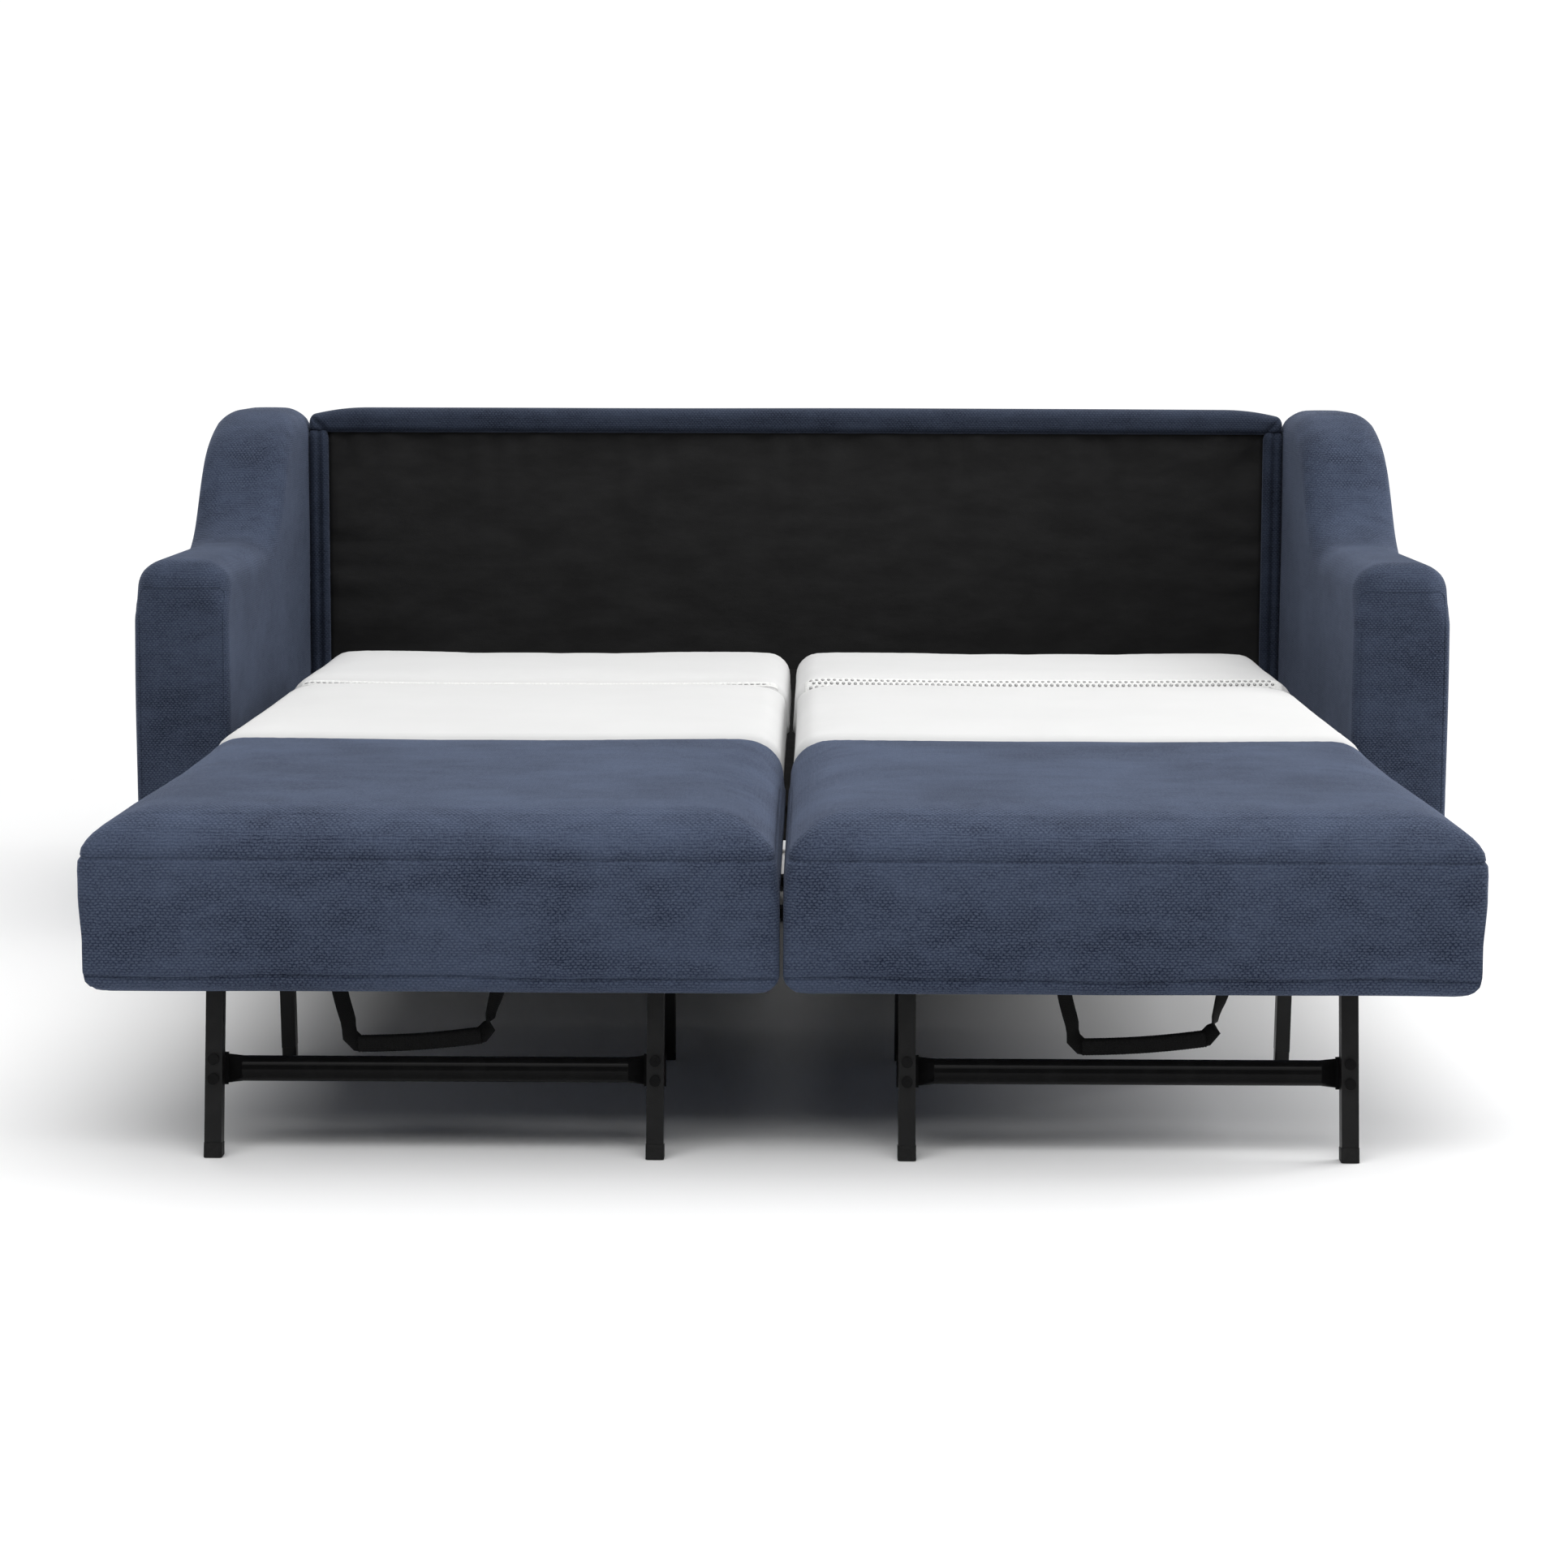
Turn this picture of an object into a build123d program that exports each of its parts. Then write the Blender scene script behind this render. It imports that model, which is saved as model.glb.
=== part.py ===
from build123d import *
import os
from math import tan, radians, hypot

# Sofa bed with two side-by-side folding bed units, shown opened flat.
# All sizes in millimetres. +Z is up, -Y is the front, the origin is on the floor
# below the middle of the outline. Side -1 is the left unit, +1 the right one.

# Overall sizes
TOTAL_LENGTH = 2367.0
FRONT_Y = -TOTAL_LENGTH / 2
BACK_Y = TOTAL_LENGTH / 2
ARM_OUTER_X = 1025.0
ARM_INNER_X = 878.0
ARM_FRONT_Y = 234.0
ARM_BOTTOM_Z = 40.0
ARM_LOW_Z = 598.0
ARM_NOSE = 26.0
ARM_PAD = 24.0
ARM_BOARD = 12.0
ARM_POST = 45.0
BACK_FRONT_Y = 1098.0
BACK_TOP_Z = 812.0
BACK_BOTTOM_Z = 25.0
PANEL_Y = 1118.0
PANEL_X = 843.0
RAIL_BOTTOM_Z = 768.0
RAIL_SKIRT = 18.0
BACK_COVER = 12.0
BACK_POST = 44.0
FIT = 0.4

# Base
SIDE_RAIL_X = (843.0, 868.0)
SIDE_RAIL_Y = (300.0, 1090.0)
SIDE_RAIL_Z = (30.0, 80.0)
CROSS_BAR_YS = (430.0, 740.0)
CROSS_BAR_Z = (6.0, 22.0)
CROSS_BAR_WIDTH = 40.0

# Mattress sections of one unit
FRONT_LENGTH = 796.0
MIDDLE_LENGTH = 731.0
REAR_LENGTH = 473.0
MATTRESS_TOP_Z = 408.0
PAD_THICKNESS = 103.0
FRAME_DEPTH = 20.0
FRONT_SPAN = (2.0, 806.0)
MIDDLE_SPAN = (5.5, 799.5)
REAR_SPAN = (1.0, 805.0)
SEAM_GAP = 1.0
PAD_ROUND = 16.0
VENT_WIDTH = 12.0
VENT_THICKNESS = 1.6
VENT_END = 20.0

# Joint lines
SEAM_FRONT_Y = FRONT_Y + FRONT_LENGTH
SEAM_REAR_Y = SEAM_FRONT_Y + MIDDLE_LENGTH
REAR_END_Y = SEAM_REAR_Y + REAR_LENGTH
STEEL_HINGE_Y = SEAM_FRONT_Y + 10.0
STEEL_HINGE_Z = 283.0
FRAME_BOTTOM_Z = STEEL_HINGE_Z + 2.0
FRAME_TOP_Z = FRAME_BOTTOM_Z + FRAME_DEPTH

# Upholstered front border of each front section
BORDER_DEPTH = 44.0
BORDER_BOTTOM_Z = 196.0

# Rails under each section
RAIL = 20.0
RAIL_WALL = 1.5
RAIL_INSET = 22.0
SLAT_THICKNESS = 8.0
SLAT_WIDTH = 56.0

# Hinge eyes and pins between the middle and front sections
LUG_THICKNESS = 8.0
LUG_RADIUS = 6.5
LUG_REACH = 26.0
LUG_XS = (120.0, 686.0)
PIN_RADIUS = 3.5
PIN_HALF = 14.5

# Legs
UNIT_X = 405.0
LEG = 20.0
LEG_WALL = 1.6
FRONT_LEG_X = 258.0
FRONT_LEG_Y = -1155.5
FRONT_LEG_LEAN = 9.0
REAR_LEG_X = 251.0
REAR_LEG_FOOT_Y = -619.5
REAR_LEG_LEAN = 7.0
CAP_HEIGHT = 16.0
PIVOT_RADIUS = 6.0
RUNNING_CLEARANCE = 0.06

# Crossbar between the front legs
BAR_Z = 100.0
BAR_RADIUS = 15.0
BAR_TAB = 4.0
BAR_TAB_HEIGHT = 38.0
BOLT_PITCH = 23.0
BOLT_RADIUS = 4.0
BOLT_HEAD_RADIUS = 6.5
BOLT_HEAD = 4.0

# Pull strap
STRAP_Y = -1128.0
STRAP_WIDTH = 20.0
STRAP_THICKNESS = 2.4
STRAP_CENTRE_X = 424.0
STRAP_HALF = 88.0
GRIP_Z = 134.0
GRIP_LENGTH = 166.0
GRIP_HEIGHT = 19.0
GRIP_DEPTH = 13.0

# Lowering guides of the rear section
GUIDE_X = 300.0
GUIDE_FRONT_Y = 1080.0
GUIDE_WIDTH = 36.0
GUIDE_DEPTH = 28.0
GUIDE_WALL = 3.0
GUIDE_BOTTOM_Z = 6.0
GUIDE_TOP_Z = 348.0
RUNNER_BOTTOM_Z = 259.0
RUNNER_TOP_Z = 344.0


def block(x0, x1, y0, y1, z0, z1):
    """Box between two corners."""
    size = (abs(x1 - x0), abs(y1 - y0), abs(z1 - z0))
    return Pos((x0 + x1) / 2, (y0 + y1) / 2, (z0 + z1) / 2) * Box(*size)


def side_block(side, x0, x1, y0, y1, z0, z1):
    """Box given by distances from the centre plane, on one side of it."""
    return block(side * x0, side * x1, y0, y1, z0, z1)


def rounded(shape, radius):
    """The same solid with all its edges rounded."""
    return fillet(shape.edges(), radius)


def rail_x(x0, x1, y, z, size=RAIL, wall=RAIL_WALL):
    """Square tube along X, centred on y and z."""
    outer = block(x0, x1, y - size / 2, y + size / 2, z - size / 2, z + size / 2)
    hole = size / 2 - wall
    inner = block(x0 - 1, x1 + 1, y - hole, y + hole, z - hole, z + hole)
    return outer - inner


def rail_y(x, y0, y1, z, size=RAIL, wall=RAIL_WALL):
    """Square tube along Y, centred on x and z."""
    outer = block(x - size / 2, x + size / 2, y0, y1, z - size / 2, z + size / 2)
    hole = size / 2 - wall
    inner = block(x - hole, x + hole, y0 - 1, y1 + 1, z - hole, z + hole)
    return outer - inner


def rod_x(x0, x1, y, z, radius):
    """Round rod along X."""
    length = abs(x1 - x0)
    return Pos((x0 + x1) / 2, y, z) * Rot(0, 90, 0) * Cylinder(radius, length)


def rod_y(x, y0, y1, z, radius):
    """Round rod along Y."""
    return Pos(x, (y0 + y1) / 2, z) * Rot(90, 0, 0) * Cylinder(radius, abs(y1 - y0))


def rod_z(x, y, z0, z1, radius):
    """Round rod along Z."""
    return Pos(x, y, (z0 + z1) / 2) * Cylinder(radius, abs(z1 - z0))


def save(shape, node):
    """Write one node."""
    export_step(shape, f"parts/{node}.step")


def save_group(solids, node):
    """Write several separate solids as one node."""
    save(Compound(children=list(solids)), node)


def side_name(side):
    return "left" if side < 0 else "right"


# Arms

def arm_profile(inset, bottom):
    """Side outline of an arm, low in front and high at the back, as a face in YZ."""
    low = ARM_LOW_Z - inset
    high = BACK_TOP_Z - inset
    front = ARM_FRONT_Y + inset
    back = BACK_Y - inset
    nose = ARM_NOSE
    third = nose * 0.3
    lead = Line((front, bottom), (front, low - nose))
    corner = ThreePointArc((front, low - nose), (front + third, low - third), (front + nose, low))
    flat = Line((front + nose, low), (640, low))
    knots = ((640, low), (760, low + 50), (850, high - 64), (1010, high))
    rise = Spline(*knots, tangents=((1, 0), (1, 0)))
    crown = Line((1010, high), (back - nose, high))
    heel = ThreePointArc((back - nose, high), (back - third, high - third), (back, high - nose))
    rear = Line((back, high - nose), (back, bottom))
    sole = Line((back, bottom), (front, bottom))
    outline = Wire([lead, corner, flat, rise, crown, heel, rear, sole])
    return Plane.YZ * make_face(outline)


def arm_body(side, inset, bottom, x0, x1):
    """Solid arm between two distances from the centre plane."""
    solid = extrude(arm_profile(inset, bottom), amount=x1 - x0)
    start = x0 if side > 0 else -x1
    return Pos(start, 0, 0) * solid


def arm_upholstery(side):
    """Padded cover of an arm, open below, hollow for the boards."""
    outer = arm_body(side, 0, ARM_BOTTOM_Z, ARM_INNER_X, ARM_OUTER_X)
    middle_x = (ARM_INNER_X + ARM_OUTER_X) / 2
    edges = []
    for edge in outer.edges():
        off_middle = abs(abs(edge.center().X) - middle_x) > 10
        if edge.center().Z > ARM_LOW_Z - 38 and off_middle:
            edges.append(edge)
    outer = fillet(edges, 20)
    wall = ARM_PAD / 2
    hollow = arm_body(side, ARM_PAD, ARM_BOTTOM_Z - 1, ARM_INNER_X + wall, ARM_OUTER_X - wall)
    return outer - hollow


def arm_boards(side):
    """Two shaped boards of an arm, one behind each face."""
    clear = 0.5
    inner = ARM_INNER_X + ARM_PAD / 2 + clear
    outer = ARM_OUTER_X - ARM_PAD / 2 - clear - ARM_BOARD
    return [arm_body(side, ARM_PAD + 1, ARM_BOTTOM_Z, x, x + ARM_BOARD) for x in (inner, outer)]


def arm_posts(side):
    """Timber posts and sill that keep the two boards apart."""
    x0 = ARM_INNER_X + ARM_PAD / 2 + ARM_BOARD + 0.5
    x1 = ARM_OUTER_X - ARM_PAD / 2 - ARM_BOARD - 0.5
    front = ARM_FRONT_Y + ARM_PAD + 2
    back = BACK_Y - ARM_PAD - 2
    sill_y = (front + ARM_POST + 0.2, back - ARM_POST - 0.2)
    return [
        side_block(side, x0, x1, front, front + ARM_POST, ARM_BOTTOM_Z, ARM_LOW_Z - 58),
        side_block(side, x0, x1, back - ARM_POST, back, ARM_BOTTOM_Z, BACK_TOP_Z - 72),
        side_block(side, x0, x1, *sill_y, ARM_BOTTOM_Z, ARM_BOTTOM_Z + ARM_POST),
    ]


def arm_feet():
    """Round feet under both arms."""
    solids = []
    for side in (-1, 1):
        for y in (ARM_FRONT_Y + 60, BACK_Y - 60):
            x = side * (ARM_INNER_X + ARM_OUTER_X) / 2
            foot = Pos(x, y, ARM_BOTTOM_Z / 2) * Cone(20, 24, ARM_BOTTOM_Z)
            solids.append(foot)
    return solids


# Back

def back_top_rail():
    """Padded top rail between the arms."""
    x = ARM_INNER_X - FIT
    top = block(-x, x, BACK_FRONT_Y, BACK_Y, RAIL_BOTTOM_Z - RAIL_SKIRT, BACK_TOP_Z)
    long_edges = [e for e in top.edges() if e.length > 1000 and e.center().Z > RAIL_BOTTOM_Z]
    top = fillet(long_edges, 24)
    slot_y = (BACK_FRONT_Y + 22, BACK_Y - BACK_COVER)
    slot = block(-ARM_INNER_X, ARM_INNER_X, *slot_y, RAIL_BOTTOM_Z - RAIL_SKIRT - 2, RAIL_BOTTOM_Z + 22)
    return top - slot


def back_field_top():
    """Height where the pieces below the top rail stop."""
    return RAIL_BOTTOM_Z - RAIL_SKIRT - FIT


def back_side_padding(side):
    """Padded strip between the dark panel and an arm."""
    x = ARM_INNER_X - FIT
    strip = side_block(side, PANEL_X, x, BACK_FRONT_Y, PANEL_Y + 5, BACK_BOTTOM_Z, back_field_top())
    near = [e for e in strip.edges() if e.length > 400 and e.center().Y < BACK_FRONT_Y + 1]
    return fillet(near, 8)


def back_inner_panel():
    """Thin dark cloth panel stretched inside the back."""
    x = PANEL_X - FIT
    return block(-x, x, PANEL_Y, PANEL_Y + 2, BACK_BOTTOM_Z, back_field_top())


def back_timber():
    """Posts and rails of the back."""
    y0 = PANEL_Y + 5 + FIT
    y1 = BACK_Y - BACK_COVER - FIT
    x = ARM_INNER_X - 1
    top_rail_z = RAIL_BOTTOM_Z - RAIL_SKIRT
    low_rail_z = BACK_BOTTOM_Z + 45
    half = BACK_POST / 2
    solids = [
        block(-x, x, y0, y1, top_rail_z, RAIL_BOTTOM_Z + 21),
        block(-x, x, y0, y1, BACK_BOTTOM_Z, low_rail_z),
    ]
    for at in (-x + half, 0, x - half):
        solids.append(block(at - half, at + half, y0, y1, low_rail_z + 0.2, top_rail_z - 0.2))
    return solids


def back_outer_cover():
    """Cloth-covered board closing the back from behind."""
    x = ARM_INNER_X - FIT
    return block(-x, x, BACK_Y - BACK_COVER, BACK_Y - 1, BACK_BOTTOM_Z, back_field_top())


# Base between the arms

def base_side_rail(side):
    """Steel rail along the inner face of an arm."""
    x0, x1 = SIDE_RAIL_X
    y0, y1 = SIDE_RAIL_Y
    z0, z1 = SIDE_RAIL_Z
    wall = 2.0
    rail = side_block(side, x0, x1, y0, y1, z0, z1)
    bore = side_block(side, x0 + wall, x1 - wall, y0 - 1, y1 + 1, z0 + wall, z1 - wall)
    return rail - bore


def base_rail_bolts():
    """Bolts through the side rails into the arms."""
    solids = []
    for side in (-1, 1):
        for y in (360, 700, 1040):
            solids.append(rod_x(side * (SIDE_RAIL_X[1] + 0.3), side * (ARM_INNER_X - 0.3), y, 66, 7))
    return solids


def base_cross_bars():
    """Low flat bars joining the two side rails near the floor."""
    x = SIDE_RAIL_X[1]
    half = CROSS_BAR_WIDTH / 2
    return [block(-x, x, y - half, y + half, *CROSS_BAR_Z) for y in CROSS_BAR_YS]


def base_bar_feet():
    """Glides below the low bars and blocks that carry the side rails on them."""
    solids = []
    half = CROSS_BAR_WIDTH / 2
    for y in CROSS_BAR_YS:
        for x in (-855, 0, 855):
            solids.append(rod_z(x, y, 0, CROSS_BAR_Z[0] - 0.2, 16))
        for side in (-1, 1):
            z0 = CROSS_BAR_Z[1] + 0.2
            z1 = SIDE_RAIL_Z[0] - 0.2
            solids.append(side_block(side, *SIDE_RAIL_X, y - half, y + half, z0, z1))
    return solids


def guide_channel(x):
    """Upright channel, open to the front, that a runner slides in."""
    y0 = GUIDE_FRONT_Y
    y1 = GUIDE_FRONT_Y + GUIDE_DEPTH
    half = GUIDE_WIDTH / 2
    outer = block(x - half, x + half, y0, y1, GUIDE_BOTTOM_Z, GUIDE_TOP_Z)
    bore = block(x - half + GUIDE_WALL, x + half - GUIDE_WALL, y0 - 1, y1 - GUIDE_WALL,
                 GUIDE_BOTTOM_Z - 1, GUIDE_TOP_Z + 1)
    return outer - bore


def guide_channels():
    """Two channels behind each rear section."""
    return [guide_channel(side * UNIT_X + dx) for side in (-1, 1) for dx in (-GUIDE_X, GUIDE_X)]


def guide_rail():
    """Board across the base that the channels are screwed to."""
    y0 = GUIDE_FRONT_Y + GUIDE_DEPTH + 0.2
    x = PANEL_X - FIT
    return block(-x, x, y0, PANEL_Y - FIT, 90, 340)


# Mattress sections

def pad(side, span, y0, y1):
    """Mattress section with rounded edges."""
    z0 = MATTRESS_TOP_Z - PAD_THICKNESS
    return rounded(side_block(side, span[0], span[1], y0, y1, z0, MATTRESS_TOP_Z), PAD_ROUND)


def vent_strip(side):
    """Open mesh tape along the seam on the rear section."""
    y0 = SEAM_REAR_Y + SEAM_GAP + PAD_ROUND
    x0 = REAR_SPAN[0] + VENT_END
    x1 = REAR_SPAN[1] - VENT_END
    return side_block(side, x0, x1, y0, y0 + VENT_WIDTH, MATTRESS_TOP_Z - VENT_THICKNESS, MATTRESS_TOP_Z)


def rear_mattress(side):
    """Rear section with a shallow groove for the mesh tape."""
    body = pad(side, REAR_SPAN, SEAM_REAR_Y + SEAM_GAP / 2, REAR_END_Y)
    y0 = SEAM_REAR_Y + SEAM_GAP + PAD_ROUND
    x0 = REAR_SPAN[0] + VENT_END - 0.2
    x1 = REAR_SPAN[1] - VENT_END + 0.2
    groove_z = (MATTRESS_TOP_Z - VENT_THICKNESS - 0.1, MATTRESS_TOP_Z + 1)
    groove = side_block(side, x0, x1, y0 - 0.2, y0 + VENT_WIDTH + 0.2, *groove_z)
    return body - groove


def middle_mattress(side):
    return pad(side, MIDDLE_SPAN, SEAM_FRONT_Y + SEAM_GAP / 2, SEAM_REAR_Y - SEAM_GAP / 2)


def front_mattress(side):
    return pad(side, FRONT_SPAN, FRONT_Y, SEAM_FRONT_Y - SEAM_GAP / 2)


def front_border(side):
    """Boxed upholstered front below the seat edge."""
    top = MATTRESS_TOP_Z - PAD_THICKNESS - 0.3
    height = top - BORDER_BOTTOM_Z
    body = side_block(side, *FRONT_SPAN, FRONT_Y, FRONT_Y + BORDER_DEPTH, BORDER_BOTTOM_Z, top)
    corners = []
    for edge in body.edges():
        lowest = edge.center().Z < BORDER_BOTTOM_Z + 1
        upright = abs(edge.length - height) < 1
        if lowest or upright:
            corners.append(edge)
    return fillet(corners, 14)


# Section frames

def side_rails(side, span, y0, y1):
    """Two tubes along the sides of a section."""
    z = FRAME_BOTTOM_Z + RAIL / 2
    return [rail_y(side * x, y0, y1, z) for x in (span[0] + RAIL_INSET, span[1] - RAIL_INSET)]


def cross_rails(side, span, stations):
    """Tubes across a section between its side tubes."""
    z = FRAME_BOTTOM_Z + RAIL / 2
    x0 = span[0] + RAIL_INSET + RAIL / 2 + 0.1
    x1 = span[1] - RAIL_INSET - RAIL / 2 - 0.1
    return [rail_x(side * x0, side * x1, y, z) for y in stations]


def slats(side, span, stations):
    """Timber slats let in between the side tubes, flush with their tops."""
    x0 = span[0] + RAIL_INSET + RAIL / 2 + 0.2
    x1 = span[1] - RAIL_INSET - RAIL / 2 - 0.2
    z1 = FRAME_TOP_Z - 0.1
    z0 = z1 - SLAT_THICKNESS
    half = SLAT_WIDTH / 2
    return [side_block(side, x0, x1, y - half, y + half, z0, z1) for y in stations]


def hinge_lug(side, x, thickness, reach, hole):
    """Eye plate on the fold line, reaching forward or back to its cross tube."""
    y = STEEL_HINGE_Y
    z = STEEL_HINGE_Z
    eye = rod_x(side * x - thickness / 2, side * x + thickness / 2, y, z, LUG_RADIUS)
    x0 = side * x - thickness / 2
    x1 = side * x + thickness / 2
    tail = block(x0, x1, y, y + reach, z + 2.2, z + 6.4)
    bore = rod_x(side * x - thickness, side * x + thickness, y, z, hole)
    return eye + tail - bore


def front_hinge_lugs(side):
    """Eyes of the front section, one inside each pair."""
    bore = PIN_RADIUS + RUNNING_CLEARANCE
    return [hinge_lug(side, x, LUG_THICKNESS, -LUG_REACH, bore) for x in LUG_XS]


def middle_hinge_lugs(side):
    """Pairs of eyes of the middle section, outside the front section's eyes."""
    solids = []
    for x in LUG_XS:
        for dx in (-LUG_THICKNESS - 1, LUG_THICKNESS + 1):
            solids.append(hinge_lug(side, x + dx, LUG_THICKNESS, LUG_REACH, PIN_RADIUS))
    return solids


def fold_pins(side):
    """Pins through the eyes, with small heads."""
    solids = []
    for x in LUG_XS:
        at = side * x
        pin = rod_x(at - PIN_HALF, at + PIN_HALF, STEEL_HINGE_Y, STEEL_HINGE_Z, PIN_RADIUS)
        for end in (-PIN_HALF - 0.1, PIN_HALF + 0.1):
            head = rod_x(at + end - 1, at + end + 1, STEEL_HINGE_Y, STEEL_HINGE_Z, PIN_RADIUS + 2)
            pin += head
        solids.append(pin)
    return solids


def rear_tongues(side):
    """Ledges of the rear section that carry the middle section when flat."""
    solids = []
    for x in (160.0, 646.0):
        y0 = SEAM_REAR_Y - 30
        y1 = SEAM_REAR_Y + 36
        solids.append(side_block(side, x - 20, x + 20, y0, y1, FRAME_BOTTOM_Z - 6, FRAME_BOTTOM_Z - FIT))
    return solids


def carriage_arms(side):
    """Tubes from the rear section back to the runners."""
    z = FRAME_BOTTOM_Z + RAIL / 2
    y0 = REAR_END_Y - 15
    return [rail_y(side * UNIT_X + dx, y0, GUIDE_FRONT_Y - 4, z) for dx in (-GUIDE_X, GUIDE_X)]


def carriage_runners(side):
    """Upright slide blocks, one in each channel."""
    solids = []
    half = GUIDE_WIDTH / 2 - GUIDE_WALL - 0.5
    for dx in (-GUIDE_X, GUIDE_X):
        x = side * UNIT_X + dx
        y0 = GUIDE_FRONT_Y - 3.8
        y1 = GUIDE_FRONT_Y + GUIDE_DEPTH - GUIDE_WALL - 0.5
        solids.append(block(x - half, x + half, y0, y1, RUNNER_BOTTOM_Z, RUNNER_TOP_Z))
    return solids


# Legs

def leaned(shape, foot_x, foot_y, lean):
    """Stand an upright tube on its foot point and lean its top back by an angle."""
    return Pos(foot_x, foot_y, 0) * Rot(-lean, 0, 0) * shape


def leg_tube(x, foot_y, lean, top):
    """Square leg tube, cut level with the frame it meets."""
    half = LEG / 2
    hole = half - LEG_WALL
    outer = block(-half, half, -half, half, CAP_HEIGHT, top + 40)
    inner = block(-hole, hole, -hole, hole, CAP_HEIGHT - 1, top + 41)
    tube = leaned(outer - inner, x, foot_y, lean)
    return tube - block(x - 60, x + 60, foot_y - 300, foot_y + 300, top, top + 90)


def leg_cap(x, foot_y, lean, half):
    """Plastic end cap with a level sole."""
    cap = block(-half, half, -half, half, -6, CAP_HEIGHT - 0.1)
    upright = [e for e in cap.edges() if abs(e.length - (CAP_HEIGHT + 5.9)) < 0.1]
    cap = leaned(fillet(upright, 3), x, foot_y, lean)
    return cap - block(x - 60, x + 60, foot_y - 60, foot_y + 60, -30, 0)


def front_leg_spots(side):
    """Centres of the two front legs of a unit."""
    return [side * UNIT_X + dx for dx in (-FRONT_LEG_X, FRONT_LEG_X)]


def front_leg_y(z):
    """Centre line of the front legs at a height."""
    return FRONT_LEG_Y + z * tan(radians(FRONT_LEG_LEAN))


def front_legs(side):
    """Fixed leg tubes below the front section."""
    top = FRAME_BOTTOM_Z - 0.2
    return [leg_tube(x, FRONT_LEG_Y, FRONT_LEG_LEAN, top) for x in front_leg_spots(side)]


def front_leg_caps(side):
    """Plastic end caps of the fixed legs, a little wider than the tubes."""
    half = LEG / 2 + 0.8
    return [leg_cap(x, FRONT_LEG_Y, FRONT_LEG_LEAN, half) for x in front_leg_spots(side)]


def bar_frame(side, dx):
    """Local frame on the leg's rear face at the crossbar height."""
    x = side * UNIT_X + dx
    return Pos(x, front_leg_y(BAR_Z), BAR_Z) * Rot(-FRONT_LEG_LEAN, 0, 0)


def front_crossbar(side):
    """Round bar with flattened ends behind the two front legs."""
    offset = LEG / 2 + BAR_TAB / 2 + 0.1
    half = FRONT_LEG_X - LEG / 2 - 22
    bar = Pos(0, offset, 0) * Rot(0, 90, 0) * Cylinder(BAR_RADIUS, 2 * half)
    for sign in (-1, 1):
        x0 = sign * half
        x1 = sign * (half + 18)
        x2 = sign * (FRONT_LEG_X + 12)
        start = Plane(origin=(x0, offset, 0), x_dir=(0, 1, 0), z_dir=(sign, 0, 0))
        end = Plane(origin=(x1, offset, 0), x_dir=(0, 1, 0), z_dir=(sign, 0, 0))
        half_tab = BAR_TAB / 2
        half_high = BAR_TAB_HEIGHT / 2
        neck = loft([start * Circle(BAR_RADIUS), end * Ellipse(half_tab - 0.3, half_high - 2)])
        tab = block(x1, x2, offset - half_tab, offset + half_tab, -half_high, half_high)
        bar = bar + neck + tab
    return bar_frame(side, 0) * bar


def crossbar_bolts(side):
    """Two bolts through each front leg, heads in front and nuts behind."""
    solids = []
    for dx in (-FRONT_LEG_X, FRONT_LEG_X):
        place = bar_frame(side, dx)
        for dz in (-BOLT_PITCH / 2, BOLT_PITCH / 2):
            front = -LEG / 2 - 0.1
            head = rod_y(0, front - BOLT_HEAD, front, dz, BOLT_HEAD_RADIUS)
            solids.append(place * head)
            back = LEG / 2 + BAR_TAB + 0.3
            nut = rod_y(0, back, back + BOLT_HEAD, dz, BOLT_HEAD_RADIUS)
            solids.append(place * nut)
    return solids


REAR_PIVOT_Z = FRAME_BOTTOM_Z + RAIL / 2
REAR_PIVOT_Y = REAR_LEG_FOOT_Y - REAR_PIVOT_Z * tan(radians(REAR_LEG_LEAN))
REAR_LEG_HALF = LEG / 2 - 0.6


def rear_leg_spots(side):
    """Centres of the two rear legs of a unit."""
    return [side * UNIT_X + dx for dx in (-REAR_LEG_X, REAR_LEG_X)]


def rear_legs(side):
    """Folding leg tubes with rounded tops, bored for their pivot rod."""
    solids = []
    half = REAR_LEG_HALF
    hole = half - LEG_WALL
    length = hypot(REAR_PIVOT_Z, REAR_PIVOT_Z * tan(radians(REAR_LEG_LEAN)))
    bore_radius = PIVOT_RADIUS + RUNNING_CLEARANCE
    for x in rear_leg_spots(side):
        outer = block(-half, half, -half, half, CAP_HEIGHT, length) + rod_x(-half, half, 0, length, half)
        inner = block(-hole, hole, -hole, hole, CAP_HEIGHT - 1, length - 14)
        tube = leaned(outer - inner, x, REAR_LEG_FOOT_Y, -REAR_LEG_LEAN)
        solids.append(tube - rod_x(x - 20, x + 20, REAR_PIVOT_Y, REAR_PIVOT_Z, bore_radius))
    return solids


def rear_leg_caps(side):
    """Plastic end caps of the folding legs."""
    return [leg_cap(x, REAR_LEG_FOOT_Y, -REAR_LEG_LEAN, REAR_LEG_HALF) for x in rear_leg_spots(side)]


def rear_leg_rod(side):
    """Rod across the front section that the rear legs swing on."""
    x0 = FRONT_SPAN[0] + RAIL_INSET + RAIL / 2 + 0.3
    x1 = FRONT_SPAN[1] - RAIL_INSET - RAIL / 2 - 0.3
    return rod_x(side * x0, side * x1, REAR_PIVOT_Y, REAR_PIVOT_Z, PIVOT_RADIUS)


# Pull strap

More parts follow.
